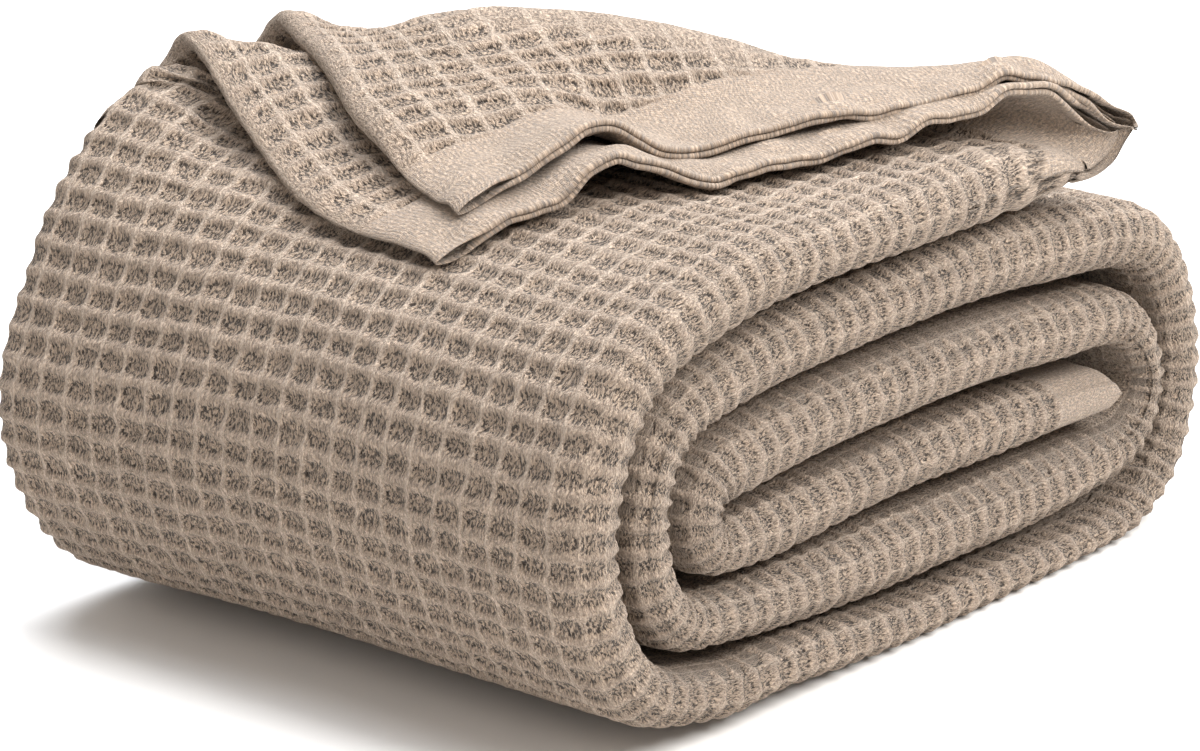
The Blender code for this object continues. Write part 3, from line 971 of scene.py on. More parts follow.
@dataclass
class TurnedBundle:
    """Four of the outer end's eight leaves, turned back over the top with their hems forward."""

    name: str
    body: WoundBody
    half: Half
    # The x of the turn's line and of the hem, at the front and at the back, and how far the
    # curl bows from its line there.
    turn_front: float
    turn_back: float
    hem_front: float
    hem_back: float
    bow_front: float
    bow_back: float
    curls: tuple[Curl, ...]
    # How much higher the curl stands than its ovals: shares of the turn, and heights.
    swells: tuple[Pair, ...]
    crest_pull: float = 0.0
    humps: tuple[Hump, ...] = (
        Hump(-0.058, 0.0105, 0.022),
        Hump(-0.106, 0.0030, 0.012),
        Hump(0.020, 0.0025, 0.030),
    )
    hem_way: Pair = (0.92, -0.39)
    # How the curl bows, where its ridge runs, and how it opens and settles past the turn.
    bow_run: float = 0.036
    bow_depth: float = 0.110
    ridge_y: Pair = (-0.050, 0.050)
    ridge_start_y: float = -0.020
    curl_thins: Pair = (-0.3, 0.2)
    curl_opens: float = 0.8
    curl_share: float = 0.7
    settle: float = 0.060
    rest_gap: float = 0.0008
    # How the bundle thins to its hem, and how thick it stays at the front fold and the nose.
    hem_thins: Pair = (-0.069, -0.0368)
    hump_reach: float = 0.1012
    hem_step: float = 0.012
    hem_bundle: float = 0.0056
    hem_fold: float = 0.0080
    nose_kept: float = 0.024
    nose_depth: float = 0.055
    hem_fold_reach: float = 0.055
    hem_corner: float = 0.014
    near: float = 0.0004
    rows: tuple[int, int, int] = (44, 46, 128)
    # The rolled rim, the share of it left at the folds, and how far the leaf's far side shows.
    rim_radius: float = 0.0015
    rim_tapers: float = 0.3
    rim_steps: int = 5
    rim_back: float = 0.012
    rim_back_front: float = 0.0015
    rim_from_front: Pair = (0.012, 0.030)
    rim_to_back: Pair = (-0.024, -0.010)
    nested_depth: float = 0.060
    inner_set_back: float = 0.002
    # The front corner droops about this place, and tucks in and sags with it.
    corner: Pair = (0.140, -0.150)
    corner_reach: Pair = (0.004, 0.056)
    corner_droop: float = 0.018
    corner_tuck: float = 0.30
    corner_sag: float = 0.45
    corner_sags: Pair = (-0.035, 0.004)
    # The hem's unevenness: its height, its reach from the hem and its two wave lengths.
    rumple: float = 0.0023
    rumple_reach: float = 0.034
    rumple_waves: Pair = (0.0105, 0.029)
    rumple_long: float = 1.3
    rumple_lift: float = 0.5
    # Where the cells are pulled flat: about the back fold, and on the crest of the curl.
    fold_pull: Pair = (0.006, 0.014)
    fold_pulled: float = 0.85
    crest_starts: Pair = (0.28, 0.42)
    crest_ends: Pair = (0.62, 0.76)
    crest_rises: Pair = (0.5, 0.75)
    crest_falls: Pair = (0.004, 0.016)
    root_leaves: float = 0.75
    swell_blur: float = 0.02
    # The faces that hardly show have fewer columns and rows.
    seam_coarser: float = 1.6
    seam_nose_steps: int = 9
    inner_coarser: int = 3
    inner_ends: Pair = (0.0025, 0.006)
    inner_start: float = 0.35
    inner_rows: int = 60

    def _along_turn(self, y: np.ndarray, at_front: float, at_back: float) -> np.ndarray:
        """The x at y of a straight line from at_front, at the front folds, to at_back."""
        return at_front + (at_back - at_front) * (y - FRONT) / PACK_DEPTH

    def hem_line(self, y: np.ndarray) -> np.ndarray:
        """The x of the cut end at y, with its corner rounded at the front folds.

        Args:
            y: the place across the run.

        Returns:
            The x there.
        """
        corner = 1 - np.clip((y - FRONT) / self.hem_corner, 0, 1)
        back = self.hem_corner * corner**2 / 2
        return self._along_turn(y, self.hem_front, self.hem_back) - back

    def _to_hem(self, thick: np.ndarray, hem: np.ndarray, y: np.ndarray) -> np.ndarray:
        """The bundle's thickness hem metres from its cut end.

        Args:
            thick: the thickness away from the hem.
            hem: distance to the cut end.
            y: the place across the run.

        Returns:
            The thickness there.
        """
        folded = 1 - smoothstep(y, FRONT, FRONT + self.hem_fold_reach)
        hem_thick = self.hem_bundle + (self.hem_fold - self.hem_bundle) * folded
        return thick + (hem_thick - thick) * smoothstep(-hem, *self.hem_thins)

    def _size(self, y: np.ndarray) -> list[np.ndarray]:
        """The curl's reach, rise and thickness where the turn passes y.

        Args:
            y: where the turn's line is passed.

        Returns:
            The reach, the rise and the thickness.
        """
        share = np.clip((y - FRONT) / PACK_DEPTH, 0, 1)
        stations = [curl.along for curl in self.curls]
        return [
            np.interp(share, stations, [getattr(curl, part) for curl in self.curls])
            for part in ("reach", "rise", "thick")
        ]

    def middle(self, x: np.ndarray, y: np.ndarray) -> tuple[np.ndarray, np.ndarray]:
        """Where the bundle's middle goes when the corner is turned over.

        Args:
            x: the place along the outer run before it is turned.
            y: the place across it.

        Returns:
            The points and the bundle's thickness.
        """
        run = self.body.path.outer_run()
        lift = self.body.lift.at
        away = np.array([PACK_DEPTH, self.turn_front - self.turn_back])
        away /= np.linalg.norm(away)
        past = (x - self._along_turn(y, self.turn_front, self.turn_back)) * away[0]
        line_x, line_y = x - past * away[0], y - past * away[1]
        reach, rise, curl_thick = self._size(line_y)
        arc = HALF_TURN * np.sqrt((reach**2 + rise**2) / 2)
        angle = np.clip(past / arc, 0, 1) * HALF_TURN
        share = np.clip((line_y - FRONT) / PACK_DEPTH, 0, 1)
        rise = rise + self._swell(share)
        over = np.maximum(past - arc, 0)
        out = np.where(past > 0, reach * np.sin(angle) - over, past)
        place_x, place_y = line_x + out * away[0], line_y + out * away[1]
        to_turn = smoothstep(past, -self.bow_run, 0)
        bow = self.bow_front * (1 - smoothstep(line_y, FRONT, FRONT + self.bow_depth))
        ridge = smoothstep(place_y, *self.ridge_y) * smoothstep(y, self.ridge_start_y, BACK)
        bow = bow - self.bow_back * ridge
        place_x = place_x + bow * to_turn

        run_thick = np.interp(x, run[:, 0], run[:, 2])
        full = run_thick / 2
        full = full + (curl_thick - full) * smoothstep(past / arc, *self.curl_thins)
        hem = (self.hem_line(y) - x) * away[0]
        thick = self._to_hem(full, hem, y)
        kept = smoothstep(-past, 0.0, self.nose_kept)
        kept = kept * (1 - smoothstep(y, FRONT, FRONT + self.nose_depth))
        thick = thick + (run_thick / 2 - thick) * kept
        nested = 1 - smoothstep(line_y, FRONT, FRONT + self.nested_depth)
        to_seam = run_thick / 4 + (thick / 2 - run_thick / 4) * nested
        flat = np.interp(x, run[:, 0], run[:, 1]) + self.half.value * to_seam
        turned = past > 0
        lifted = lift(
            np.where(turned, line_x + bow, place_x), np.where(turned, line_y, place_y)
        )
        curled = flat + lifted + rise * (1 - np.cos(angle))
        corner = np.hypot(place_x - self.corner[0], place_y - self.corner[1])
        droop = self.corner_droop * (1 - smoothstep(corner, *self.corner_reach))
        sagging = self.corner_sag * smoothstep(past, *self.corner_sags)
        droop = droop * np.maximum((1 - np.cos(angle)) / 2, sagging)
        below = 0.0
        if self.half is Half.INWARD:
            below = self._to_hem(full, hem + self.hem_step, y) + self.rest_gap
        surface = np.interp(place_x, run[:, 3], run[:, 4]) + lift(place_x, place_y)
        hem_at = place_x * self.hem_way[0] + place_y * self.hem_way[1]
        hump = sum(h.height * np.exp(-(((hem_at - h.at) / h.half_width) ** 2)) for h in self.humps)
        hump = hump * smoothstep(-hem, -self.hump_reach, 0)
        rest = surface + self.rest_gap + below + thick / 2 + hump
        down = smoothstep(past, self.curl_opens * arc, arc + self.settle)
        place_z = curled + (rest - curled) * down
        short, long = (
            soft_noise(y, x, wave, seed + self.half.value)
            for wave, seed in zip(self.rumple_waves, (Seed.RUMPLE, Seed.LONG_RUMPLE))
        )
        rumple = self.rumple * (short + self.rumple_long * long + self.rumple_lift)
        rumple = rumple * smoothstep(-hem, -self.rumple_reach, 0)
        place_z = place_z - droop + rumple * (past > 0)
        place_x = place_x - self.corner_tuck * droop
        return np.stack([place_x, place_y, place_z], axis=-1), thick

    def _swell(self, share: np.ndarray) -> np.ndarray:
        """How much the curl stands up more than its oval, at a share of the turn.

        Args:
            share: the share of the turn from the front.

        Returns:
            The height to add.
        """
        at, rise = zip(*self.swells)
        near = [np.interp(share + step * self.swell_blur, at, rise) for step in range(-2, 3)]
        return sum(near) / len(near)

    def _pulled(self, x: np.ndarray, y: np.ndarray, columns: Columns) -> np.ndarray:
        """Where the cells are pulled flat: on the back fold, and on the crest of the curl.

        Args:
            x: the place along the outer run, before it is turned.
            y: the place across the run.
            columns: the places round the bundle.

        Returns:
            How far the cells are pulled flat, from 0 to 1.
        """
        away = np.abs(columns.back - QUARTER_TURN) * BUNDLE / 2 + (1 - columns.flat) * FLAT_REACH
        fold = self.fold_pulled * (1 - smoothstep(away, *self.fold_pull)) + 0 * x
        way = PACK_DEPTH / math.hypot(PACK_DEPTH, self.turn_front - self.turn_back)
        past = (x - self._along_turn(y, self.turn_front, self.turn_back)) * way
        line_y = y - past * math.sqrt(1 - way**2)
        size, rise, _ = self._size(line_y)
        arc = HALF_TURN * np.sqrt((size**2 + rise**2) / 2)
        share = (line_y - FRONT) / PACK_DEPTH
        crest = smoothstep(share, *self.crest_starts) * (1 - smoothstep(share, *self.crest_ends))
        crest = crest * smoothstep(past / arc, *self.crest_rises)
        crest = crest * (1 - smoothstep(past - arc, *self.crest_falls))
        return np.maximum(fold, self.crest_pull * crest)

    def _row_x(self, y: np.ndarray, counts: tuple[int, int, int]) -> np.ndarray:
        """The x of each row from the root line to the hem, before the corner is turned.

        Args:
            y: the place across the run.
            counts: rows up to the turn, round it, and from there to the hem.

        Returns:
            The x of each row at each y.
        """
        root = self.body.root_x(y)
        start = self._along_turn(y, self.turn_front, self.turn_back)
        hem = self.hem_line(y)
        slope = math.hypot(PACK_DEPTH, self.turn_front - self.turn_back) / PACK_DEPTH
        reach, rise, _ = self._size(y)
        finish = start + HALF_TURN * np.maximum(reach, rise) * slope
        finish = np.minimum(finish, start + self.curl_share * (hem - start))
        stops = (root, start, finish, hem)
        rows = []
        for i, count in enumerate(counts):
            share = np.linspace(0, 1, count, endpoint=False)[:, None]
            rows.append(stops[i] + (stops[i + 1] - stops[i]) * share)
        return np.vstack([*rows, hem[None, :]])

    def _face(
        self, x: np.ndarray, y: np.ndarray, columns: Columns, height: np.ndarray
    ) -> np.ndarray:
        """A face of the bundle at some height in it, from the root line on.

        Args:
            x: the place along the outer run, before it is turned.
            y: the place across the run.
            columns: the places round the bundle.
            height: the height in the bundle, from -1 at its seam face to 1 at its outer face.

        Returns:
            The face's points.
        """
        middle, thick = self.middle(x, y)
        down = self.middle(x + self.near, y)[0] - middle
        over = self.middle(x, y + self.near)[0] - middle
        normal = np.cross(down, over)
        normal /= np.linalg.norm(normal, axis=-1)[..., None]
        offset = thick / 2 * height * self.half.value
        turned = middle + normal * offset[..., None]
        s = self.body.path.s_of_x(x)
        flat, _ = self.body.place(s, columns, self.half, height)
        root = self.body.root_x(y)
        start = self._along_turn(y, self.turn_front, self.turn_back)
        leave = smoothstep((x - root) / (start - root), 0.0, self.root_leaves)[..., None]
        return flat + (turned - flat) * leave

    def _rim(self, points: np.ndarray, inward: np.ndarray, y: np.ndarray) -> np.ndarray:
        """The rolled rim of the cut end, and a little of the leaf's far side.

        Args:
            points: the grid's points, as rows by columns by 3.
            inward: the way into the bundle at each column of the last row.
            y: the place across the run.

        Returns:
            The points with the rim's rows after them.
        """
        flat = smoothstep(y - FRONT, *self.rim_from_front)
        flat = flat * (1 - smoothstep(y - BACK, *self.rim_to_back))
        reach = self.rim_back_front + (self.rim_back - self.rim_back_front) * flat
        along = points[-1] - points[-3]
        along /= np.linalg.norm(along, axis=-1, keepdims=True)
        radius = self.rim_radius * (self.rim_tapers + (1 - self.rim_tapers) * flat)
        rows = []
        for angle in np.linspace(0, HALF_TURN, self.rim_steps + 1)[1:]:
            out, down = math.sin(angle), 1 - math.cos(angle)
            rows.append(points[-1] + radius[:, None] * (along * out + inward * down))
        rows.append(rows[-1] - along * reach[:, None])
        return np.concatenate([points, np.array(rows)])

    def _ring(self, spacing: float) -> tuple[Columns, np.ndarray]:
        """The columns round the bundle's outer face and back over its seam face.

        Args:
            spacing: distance between columns.

        Returns:
            The columns, and each one's height in the bundle.
        """
        sets = self.body.columns
        outer = sets.front(spacing)
        outer = outer.joined(_cut_first(sets.middle(spacing)))
        outer = outer.joined(_cut_first(sets.back(spacing)))
        seam_flat = np.linspace(1, 0, round(PACK_DEPTH / spacing / self.seam_coarser))[1:]
        seam_nose = np.linspace(QUARTER_TURN, 0, self.seam_nose_steps + 1)[1:]
        seam = Columns(
            np.concatenate([np.full(len(seam_flat), QUARTER_TURN), seam_nose]),
            np.concatenate([seam_flat, np.zeros(len(seam_nose))]),
            np.zeros(len(seam_flat) + len(seam_nose)),
        )
        return outer.joined(seam), np.concatenate([outer.height(), -np.ones(len(seam.flat))])

    def build(self, cloth: Cloth, spacing: float) -> list[bpy.types.Object]:
        """Builds the bundle as one sleeve of cloth with a rolled rim at its cut end.

        Args:
            cloth: makes the meshes.
            spacing: distance between columns.

        Returns:
            The sleeve, and the leaves inside it.
        """
        columns, height = self._ring(spacing)
        y = columns.nominal_y()
        x = self._row_x(y, self.rows)
        grid_y = np.broadcast_to(y, x.shape)
        points = self._face(x, grid_y, columns, np.broadcast_to(height, x.shape))
        s = self.body.path.s_of_x(x)
        _, across = self.body.place(s, columns, self.half)
        back = int(np.argmax(columns.back))
        fold = HALF_TURN * self.body.path.at(s[:, back : back + 1]).thick / 4
        across[:, back + 1 :] = 2 * across[:, back : back + 1] - fold - across[:, back + 1 :]
        turned = self.half is Half.INWARD
        inward = cloth.outward(points)[-1] * (1 if turned else -1)
        full = self._rim(points, inward, y)
        extra = len(full) - len(points)
        along = self.body.cloth_along(s, grid_y)
        along = np.vstack([along, np.repeat(along[-1:], extra, axis=0)])
        across = np.vstack([across, np.repeat(across[-1:], extra, axis=0)])
        hem = np.vstack([self.hem_line(grid_y) - x, np.zeros((extra, len(y)))])
        pulled = self._pulled(x, grid_y, columns)
        pulled = np.vstack([pulled, np.zeros((extra, len(y)))])
        sleeve = cloth.dress(
            self.name, full, along, across, hem, Weave.WAFFLE, turned, pulled=pulled
        )
        return [sleeve, self._inner_leaves(cloth, spacing)]

    def _inner_leaves(self, cloth: Cloth, spacing: float) -> bpy.types.Object:
        """The leaves between the bundle's two faces, a little back from the hems.

        Args:
            cloth: makes the mesh.
            spacing: distance between the outer faces' columns.

        Returns:
            The leaves, as one plain piece.
        """
        columns = self.body.columns.middle(spacing * self.inner_coarser)
        after, before = self.inner_ends
        y = np.linspace(FRONT + after, BACK - before, len(columns.flat))
        ends = (self.body.root_x(y), self.hem_line(y) - self.inner_set_back)
        share = np.linspace(self.inner_start, 1, self.inner_rows)[:, None]
        x = ends[0] + (ends[1] - ends[0]) * share
        grid_y = np.broadcast_to(y, x.shape)
        points = self._face(x, grid_y, columns, np.zeros(x.shape))
        along = self.body.path.cloth_along(self.body.path.s_of_x(x))
        hem = self.hem_line(grid_y) - x
        name = f"{self.name}_inner_leaves"
        return cloth.dress(name, points, along, grid_y, hem, Weave.HIDDEN, False)


def _cut_first(columns: Columns) -> Columns:
    """The columns without their first one, which the ones before already have."""
    return Columns(*(part[1:] for part in columns))


def linear_colour(hex_colour: str) -> tuple[float, float, float, float]:
    """An sRGB hex colour as the linear colour that shaders take.

    Args:
        hex_colour: six hex digits.

    Returns:
        Red, green, blue and an alpha of 1.
    """
    channels = [int(hex_colour[i : i + 2], 16) / 255 for i in (0, 2, 4)]
    linear = [c / 12.92 if c <= 0.04045 else ((c + 0.055) / 1.055) ** 2.4 for c in channels]
    return (linear[0], linear[1], linear[2], 1.0)


def add_node(
    tree: Tree,
    kind: str,
    inputs: tuple | dict[str, object],
    **settings: object,
) -> bpy.types.NodeOutputs:
    """Adds a node with its settings and its links.

    Args:
        tree: the node tree.
        kind: the node's type name, less the "ShaderNode" before it.
        inputs: values to set and sockets to link, in order or by name.
        **settings: the node's own attributes.

    Returns:
        The node's outputs.
    """
    node = tree.nodes.new(f"ShaderNode{kind}")
    for name, value in settings.items():
        setattr(node, name, value)
    for key, value in inputs.items() if isinstance(inputs, dict) else enumerate(inputs):
        if isinstance(value, Socket):
            tree.links.new(value, node.inputs[key])
        else:
            node.inputs[key].default_value = value
    return node.outputs


@dataclass(frozen=True)
class Raggedness:
    """How far, and over what length, loose yarns wander from their place in a pattern."""

    amount_mm: float
    grain_mm: float
    detail: float = 2.0
    roughness: float = 0.6

    def moved(self, tree: Tree, place: Socket) -> Socket:
        """The place, moved about as the yarns are.

        Args:
            tree: the node tree.
            place: the place on the flat cloth, in millimetres.

        Returns:
            The place to read the pattern at.
        """
        grain = {"Scale": 1 / self.grain_mm, "Detail": self.detail, "Roughness": self.roughness}
        noise = add_node(tree, "TexNoise", {"Vector": place, **grain})["Color"]
        off = add_node(tree, "VectorMath", (noise, (0.5, 0.5, 0.5)), operation="SUBTRACT")[0]
        off = {0: off, "Scale": self.amount_mm}
        move = add_node(tree, "VectorMath", off, operation="SCALE")[0]
        return add_node(tree, "VectorMath", (place, move), operation="ADD")[0]


@dataclass(frozen=True)
class Strokes:
    """Short yarns that lie two ways across each other."""

    size_mm: Pair
    turns: Pair
    detail: float
    roughness: float
    distortion: float

    def layers(self, tree: Tree, place: Socket) -> list[Socket]:
        """The strokes of each way, in one pattern each.

        Args:
            tree: the node tree.
            place: the place on the flat cloth, in millimetres.

        Returns:
            A value for each way, higher on a yarn.
        """
        scale = (1 / self.size_mm[0], 1 / self.size_mm[1], 1.0)
        shape = {"Scale": 1.0, "Detail": self.detail}
        shape |= {"Roughness": self.roughness, "Distortion": self.distortion}
        layers = []
        for turn in self.turns:
            way = {"Vector": place, "Rotation": (0.0, 0.0, turn), "Scale": scale}
            turned = add_node(tree, "Mapping", way)[0]
            layers.append(add_node(tree, "TexNoise", {"Vector": turned, **shape})["Fac"])
        return layers


@dataclass(frozen=True)
class CottonFinish:
    """Taupe cotton yarn, piece dyed, woven loose as a waffle and washed soft.

    Matte and fuzzy. The yarn is one dye, so its tones are painted light and shade: the ribs and
    cords are painted paler where they stand up, the open floors of the cells darker, and the gaps
    between their floats are painted shade. Sizes are in millimetres of the flat cloth.
    A level is four numbers: the pattern's own two ends, and what they are eased to.
    """

    # One yarn in painted tones: ribs and cords paler as painted light on raised parts, floors
    # darker as painted shade in the sunken cells.
    rib_hex: str = "BAA490"
    cord_hex: str = "C8B4A1"
    floor_hex: str = "B09A85"
    # Painted shade in the gaps between the yarns.
    gap_shade_hex: str = "2A1D14"
    plain_hex: str = "887B70"
    tint_hex: str = "F1EAE2"
    roughness: float = 0.95
    specular: float = 0.15
    sheen: float = 0.26
    sheen_roughness: float = 0.6
    yarn_bump_mm: float = 0.75
    # The waffle: where its ribs and cords are full, and where they end.
    cell_mm: Pair = (13.2, 12.0)
    rib_mm: Pair = (0.4, 3.8)
    cord_mm: Pair = (0.3, 1.5)
    waffle_ragged: Raggedness = Raggedness(3.2, 2.6)
    cord_share: float = 0.60
    cord_raised: float = 0.9
    tight_cords: Level = (0.0, 1.0, 1.0, 0.5)
    # The relief sets both the bump and how pale the colour is, which paints light on high cloth
    # and shade on low cloth.
    relief_high: Level = (0.15, 0.85, 0.0, 1.0)
    pattern_share: float = 0.6
    pulled_raised: float = 0.72
    # Real float loops are about 0.9 mm long. They are drawn a little coarser, so that they show.
    floats: Strokes = Strokes((0.92, 1.9), (0.95, -0.65), 1.0, 0.5, 0.4)
    float_ragged: Raggedness = Raggedness(1.1, 1.8)
    float_level: Level = (0.35, 0.54, 0.0, 1.0)
    fibres: Strokes = Strokes((0.85, 2.2), (0.95, -0.8), 3.0, 0.62, 0.3)
    fibre_level: Level = (0.44, 0.68, 0.0, 1.0)
    fibre_shade: Level = (0.0, 1.0, 0.66, 1.14)
    # The painted shade in the gaps between the yarns is lighter on ribs and cords, and darkest at
    # the foot of a rib, where shade falls.
    rib_lightens: float = 0.34
    cord_lightens: float = 0.30
    foot_shade_at: float = 0.25
    foot_shade_level: Level = (0.0, 0.25, 0.22, 0.0)
    unshaded_level: Level = (-0.22, 0.80, 0.0, 1.0)
    # The hem bands, and the slow change of tone over the whole cloth.
    hem_rib_mm: float = 1.9
    hem_pick_mm: float = 1.2
    hem_ragged: Raggedness = Raggedness(0.5, 2.2)
    hem_waves: Triple = (0.5, 0.22, 0.20)
    hem_level: Level = (0.0, 0.7, 0.2, 1.0)
    tone_mm: float = 45.0
    tone_level: Level = (0.3, 0.7, 0.97, 1.03)
    # How high each pattern stands, as a share of the bump.
    float_height: float = 0.75
    rib_height: float = 0.9
    fibre_height: float = 0.75
    hem_heights: Pair = (0.6, 0.4)

    def _waffle(self, tree: Tree, place: Socket) -> list[Socket]:
        """How far a place is on a rib and on a cord, from 0 to 1.

        Args:
            tree: the node tree.
            place: the place on the flat cloth, in millimetres.

        Returns:
            The share on a rib, and the share on a cord.
        """
        moved = self.waffle_ragged.moved(tree, place)
        scale = (1 / self.cell_mm[0], 1 / self.cell_mm[1], 1.0)
        cells = add_node(tree, "Mapping", {"Vector": moved, "Scale": scale})[0]
        parts = add_node(tree, "SeparateXYZ", (cells,))
        masks = []
        for i, sizes in ((1, self.rib_mm), (0, self.cord_mm)):
            off = add_node(tree, "Math", (parts[i], 0.5), operation="PINGPONG")[0]
            away = add_node(tree, "Math", (0.5, off), operation="SUBTRACT")[0]
            ends = (sizes[0] / self.cell_mm[i], sizes[1] / self.cell_mm[i], 1.0, 0.0)
            masks.append(add_node(tree, "MapRange", (away, *ends), **EASED)[0])
        return masks

    def _floats(self, tree: Tree, place: Socket) -> Socket:
        """The small float loops on the floors of the cells: 1 on a loop, 0 in the gaps.

        Args:
            tree: the node tree.
            place: the place on the flat cloth, in millimetres.

        Returns:
            The value.
        """
        shown = [
            add_node(tree, "MapRange", (layer, *self.float_level), **EASED)[0]
            for layer in self.floats.layers(tree, self.float_ragged.moved(tree, place))
        ]
        return add_node(tree, "Math", tuple(shown), operation="MINIMUM")[0]

    def _fuzz(self, tree: Tree, place: Socket) -> Socket:
        """Fuzz: short fibres that lie across each other on the ribs.

        Args:
            tree: the node tree.
            place: the place on the flat cloth, in millimetres.

        Returns:
            1 on a fibre and 0 between them.
        """
        both = tuple(self.fibres.layers(tree, place))
        fibre = add_node(tree, "Math", both, operation="MAXIMUM")[0]
        return add_node(tree, "MapRange", (fibre, *self.fibre_level), **EASED)[0]

    def _hem_weave(self, tree: Tree, place: Socket) -> Socket:
        """The hem bands: close ribs square to the hem, with fine picks across them.

        Args:
            tree: the node tree.
            place: the place on the flat cloth, in millimetres.

        Returns:
            The weave's height, about 0.5.
        """
        parts = add_node(tree, "SeparateXYZ", (self.hem_ragged.moved(tree, place),))
        height, *waves = self.hem_waves
        for i, pitch in enumerate((self.hem_rib_mm, self.hem_pick_mm)):
            turns = (parts[i], HALF_TURN * 2 / pitch)
            wave = add_node(tree, "Math", turns, operation="MULTIPLY")[0]
            wave = add_node(tree, "Math", (wave,), operation="SINE")[0]
            height = add_node(tree, "Math", (wave, waves[i], height), operation="MULTIPLY_ADD")[0]
        return height

    def _raised(
        self,
        tree: Tree,
        rib: Socket,
        cord: Socket,
        marks: dict[str, Socket],
    ) -> Socket:
        """How far the cloth stands up at a place, by its pattern, its relief and its pull.

        Args:
            tree: the node tree.
            rib: the share on a rib.
            cord: the share on a cord.
            marks: the mesh's own values, by name.

        Returns:
            The height, from 0 to 1.
        """
        cord = add_node(tree, "Math", (cord, self.cord_raised), operation="MULTIPLY")[0]
        raised = add_node(tree, "Math", (rib, cord), operation="MAXIMUM")[0]
        high = add_node(tree, "MapRange", (marks["relief"], *self.relief_high), **EASED)[0]
        high = add_node(tree, "Math", (high, 1 - self.pattern_share), operation="MULTIPLY")[0]
        both = (raised, self.pattern_share, high)
        raised = add_node(tree, "Math", both, operation="MULTIPLY_ADD")[0]
        ends = {0: marks["pulled"], 2: raised, 3: self.pulled_raised}
        return add_node(tree, "Mix", ends, data_type="FLOAT")[0]

    def _unshaded(
        self,
        tree: Tree,
        raised: Socket,
        cord: Socket,
        floats: Socket,
        relief: Socket,
    ) -> Socket:
        """How far the painted gap shade is left off: 0 in a gap between the yarns, 1 on a yarn.

        Args:
            tree: the node tree.
            raised: how far the cloth stands up.
            cord: the share on a cord.
            floats: 1 on a float loop and 0 in the gaps.
            relief: the mesh's own relief.

        Returns:
            The value.
        """
        gaps = (raised, self.rib_lightens, floats)
        gaps = (cord, self.cord_lightens, add_node(tree, "Math", gaps, operation="MULTIPLY_ADD")[0])
        gaps = add_node(tree, "Math", gaps, operation="MULTIPLY_ADD")[0]
        # Painted shade, darkest at the foot of a rib.
        foot = add_node(tree, "Math", (relief, self.foot_shade_at), operation="SUBTRACT")[0]
        foot = add_node(tree, "Math", (foot,), operation="ABSOLUTE")[0]
        foot = add_node(tree, "MapRange", (foot, *self.foot_shade_level), **EASED)[0]
        gaps = add_node(tree, "Math", (gaps, foot), operation="SUBTRACT")[0]
        return add_node(tree, "MapRange", (gaps, *self.unshaded_level), **EASED)[0]

    def material(self) -> bpy.types.Material:
        """The cloth's material, which reads its relief and its flat coordinates.

        Returns:
            The material.
        """
        material = bpy.data.materials.new("waffle_woven_cotton")
        material.use_nodes = True
        tree = material.node_tree
        shader = tree.nodes["Principled BSDF"].inputs
        shader["Roughness"].default_value = self.roughness
        shader["Sheen Weight"].default_value = self.sheen
        shader["Sheen Roughness"].default_value = self.sheen_roughness
        shader["Sheen Tint"].default_value = linear_colour(self.tint_hex)
        shader["Specular IOR Level"].default_value = self.specular

        flat = {0: add_node(tree, "UVMap", {}, uv_map="flat_cloth")[0], "Scale": MM_PER_M}
        place = add_node(tree, "VectorMath", flat, operation="SCALE")[0]
        marks = {
            name: add_node(tree, "Attribute", {}, attribute_name=name)["Fac"]
            for name in ("relief", "plain", "pulled", "tight")
        }
        rib, cord = self._waffle(tree, place)
        loose = add_node(tree, "MapRange", (marks["tight"], *self.tight_cords), **EASED)[0]
        cord = add_node(tree, "Math", (cord, loose), operation="MULTIPLY")[0]
        raised = self._raised(tree, rib, cord, marks)
        floats, fuzz = self._floats(tree, place), self._fuzz(tree, place)
        unshaded = self._unshaded(tree, raised, cord, floats, marks["relief"])
        hem = self._hem_weave(tree, place)
        picked = add_node(tree, "Math", (hem, floats), operation="MULTIPLY")[0]
        picked = add_node(tree, "MapRange", (picked, *self.hem_level), **EASED)[0]

        ribs, cords, floors, gaps, plain = (
            linear_colour(colour)
            for colour in (
                self.rib_hex, self.cord_hex, self.floor_hex, self.gap_shade_hex, self.plain_hex
            )
        )
        shown = add_node(tree, "Math", (cord, self.cord_share), operation="MULTIPLY")[0]
        # Painted light and shade: the colour goes from the floor tone to the rib tone as the cloth
        # stands up, cords are painted paler, and the gap shade is painted where the yarns leave
        # gaps.
        woven = add_node(tree, "Mix", {0: raised, 6: floors, 7: ribs}, data_type="RGBA")[2]
        woven = add_node(tree, "Mix", {0: shown, 6: woven, 7: cords}, data_type="RGBA")[2]
        woven = add_node(tree, "Mix", {0: unshaded, 6: gaps, 7: woven}, data_type="RGBA")[2]
        band = add_node(tree, "Mix", {0: picked, 6: floors, 7: plain}, data_type="RGBA")[2]
        ends = {0: marks["plain"], 6: woven, 7: band}
        colour = add_node(tree, "Mix", ends, data_type="RGBA")[2]
        slow = {"Vector": place, "Scale": 1 / self.tone_mm, "Detail": 2.0}
        tone = add_node(tree, "TexNoise", slow)["Fac"]
        tone = add_node(tree, "MapRange", (tone, *self.tone_level), **EASED)[0]
        shade = add_node(tree, "MapRange", (fuzz, *self.fibre_shade), **EASED)[0]
        shade = add_node(tree, "Math", (tone, shade), operation="MULTIPLY")[0]
        final = add_node(tree, "VectorMath", {0: colour, "Scale": shade}, operation="SCALE")[0]
        tree.links.new(final, shader["Base Color"])

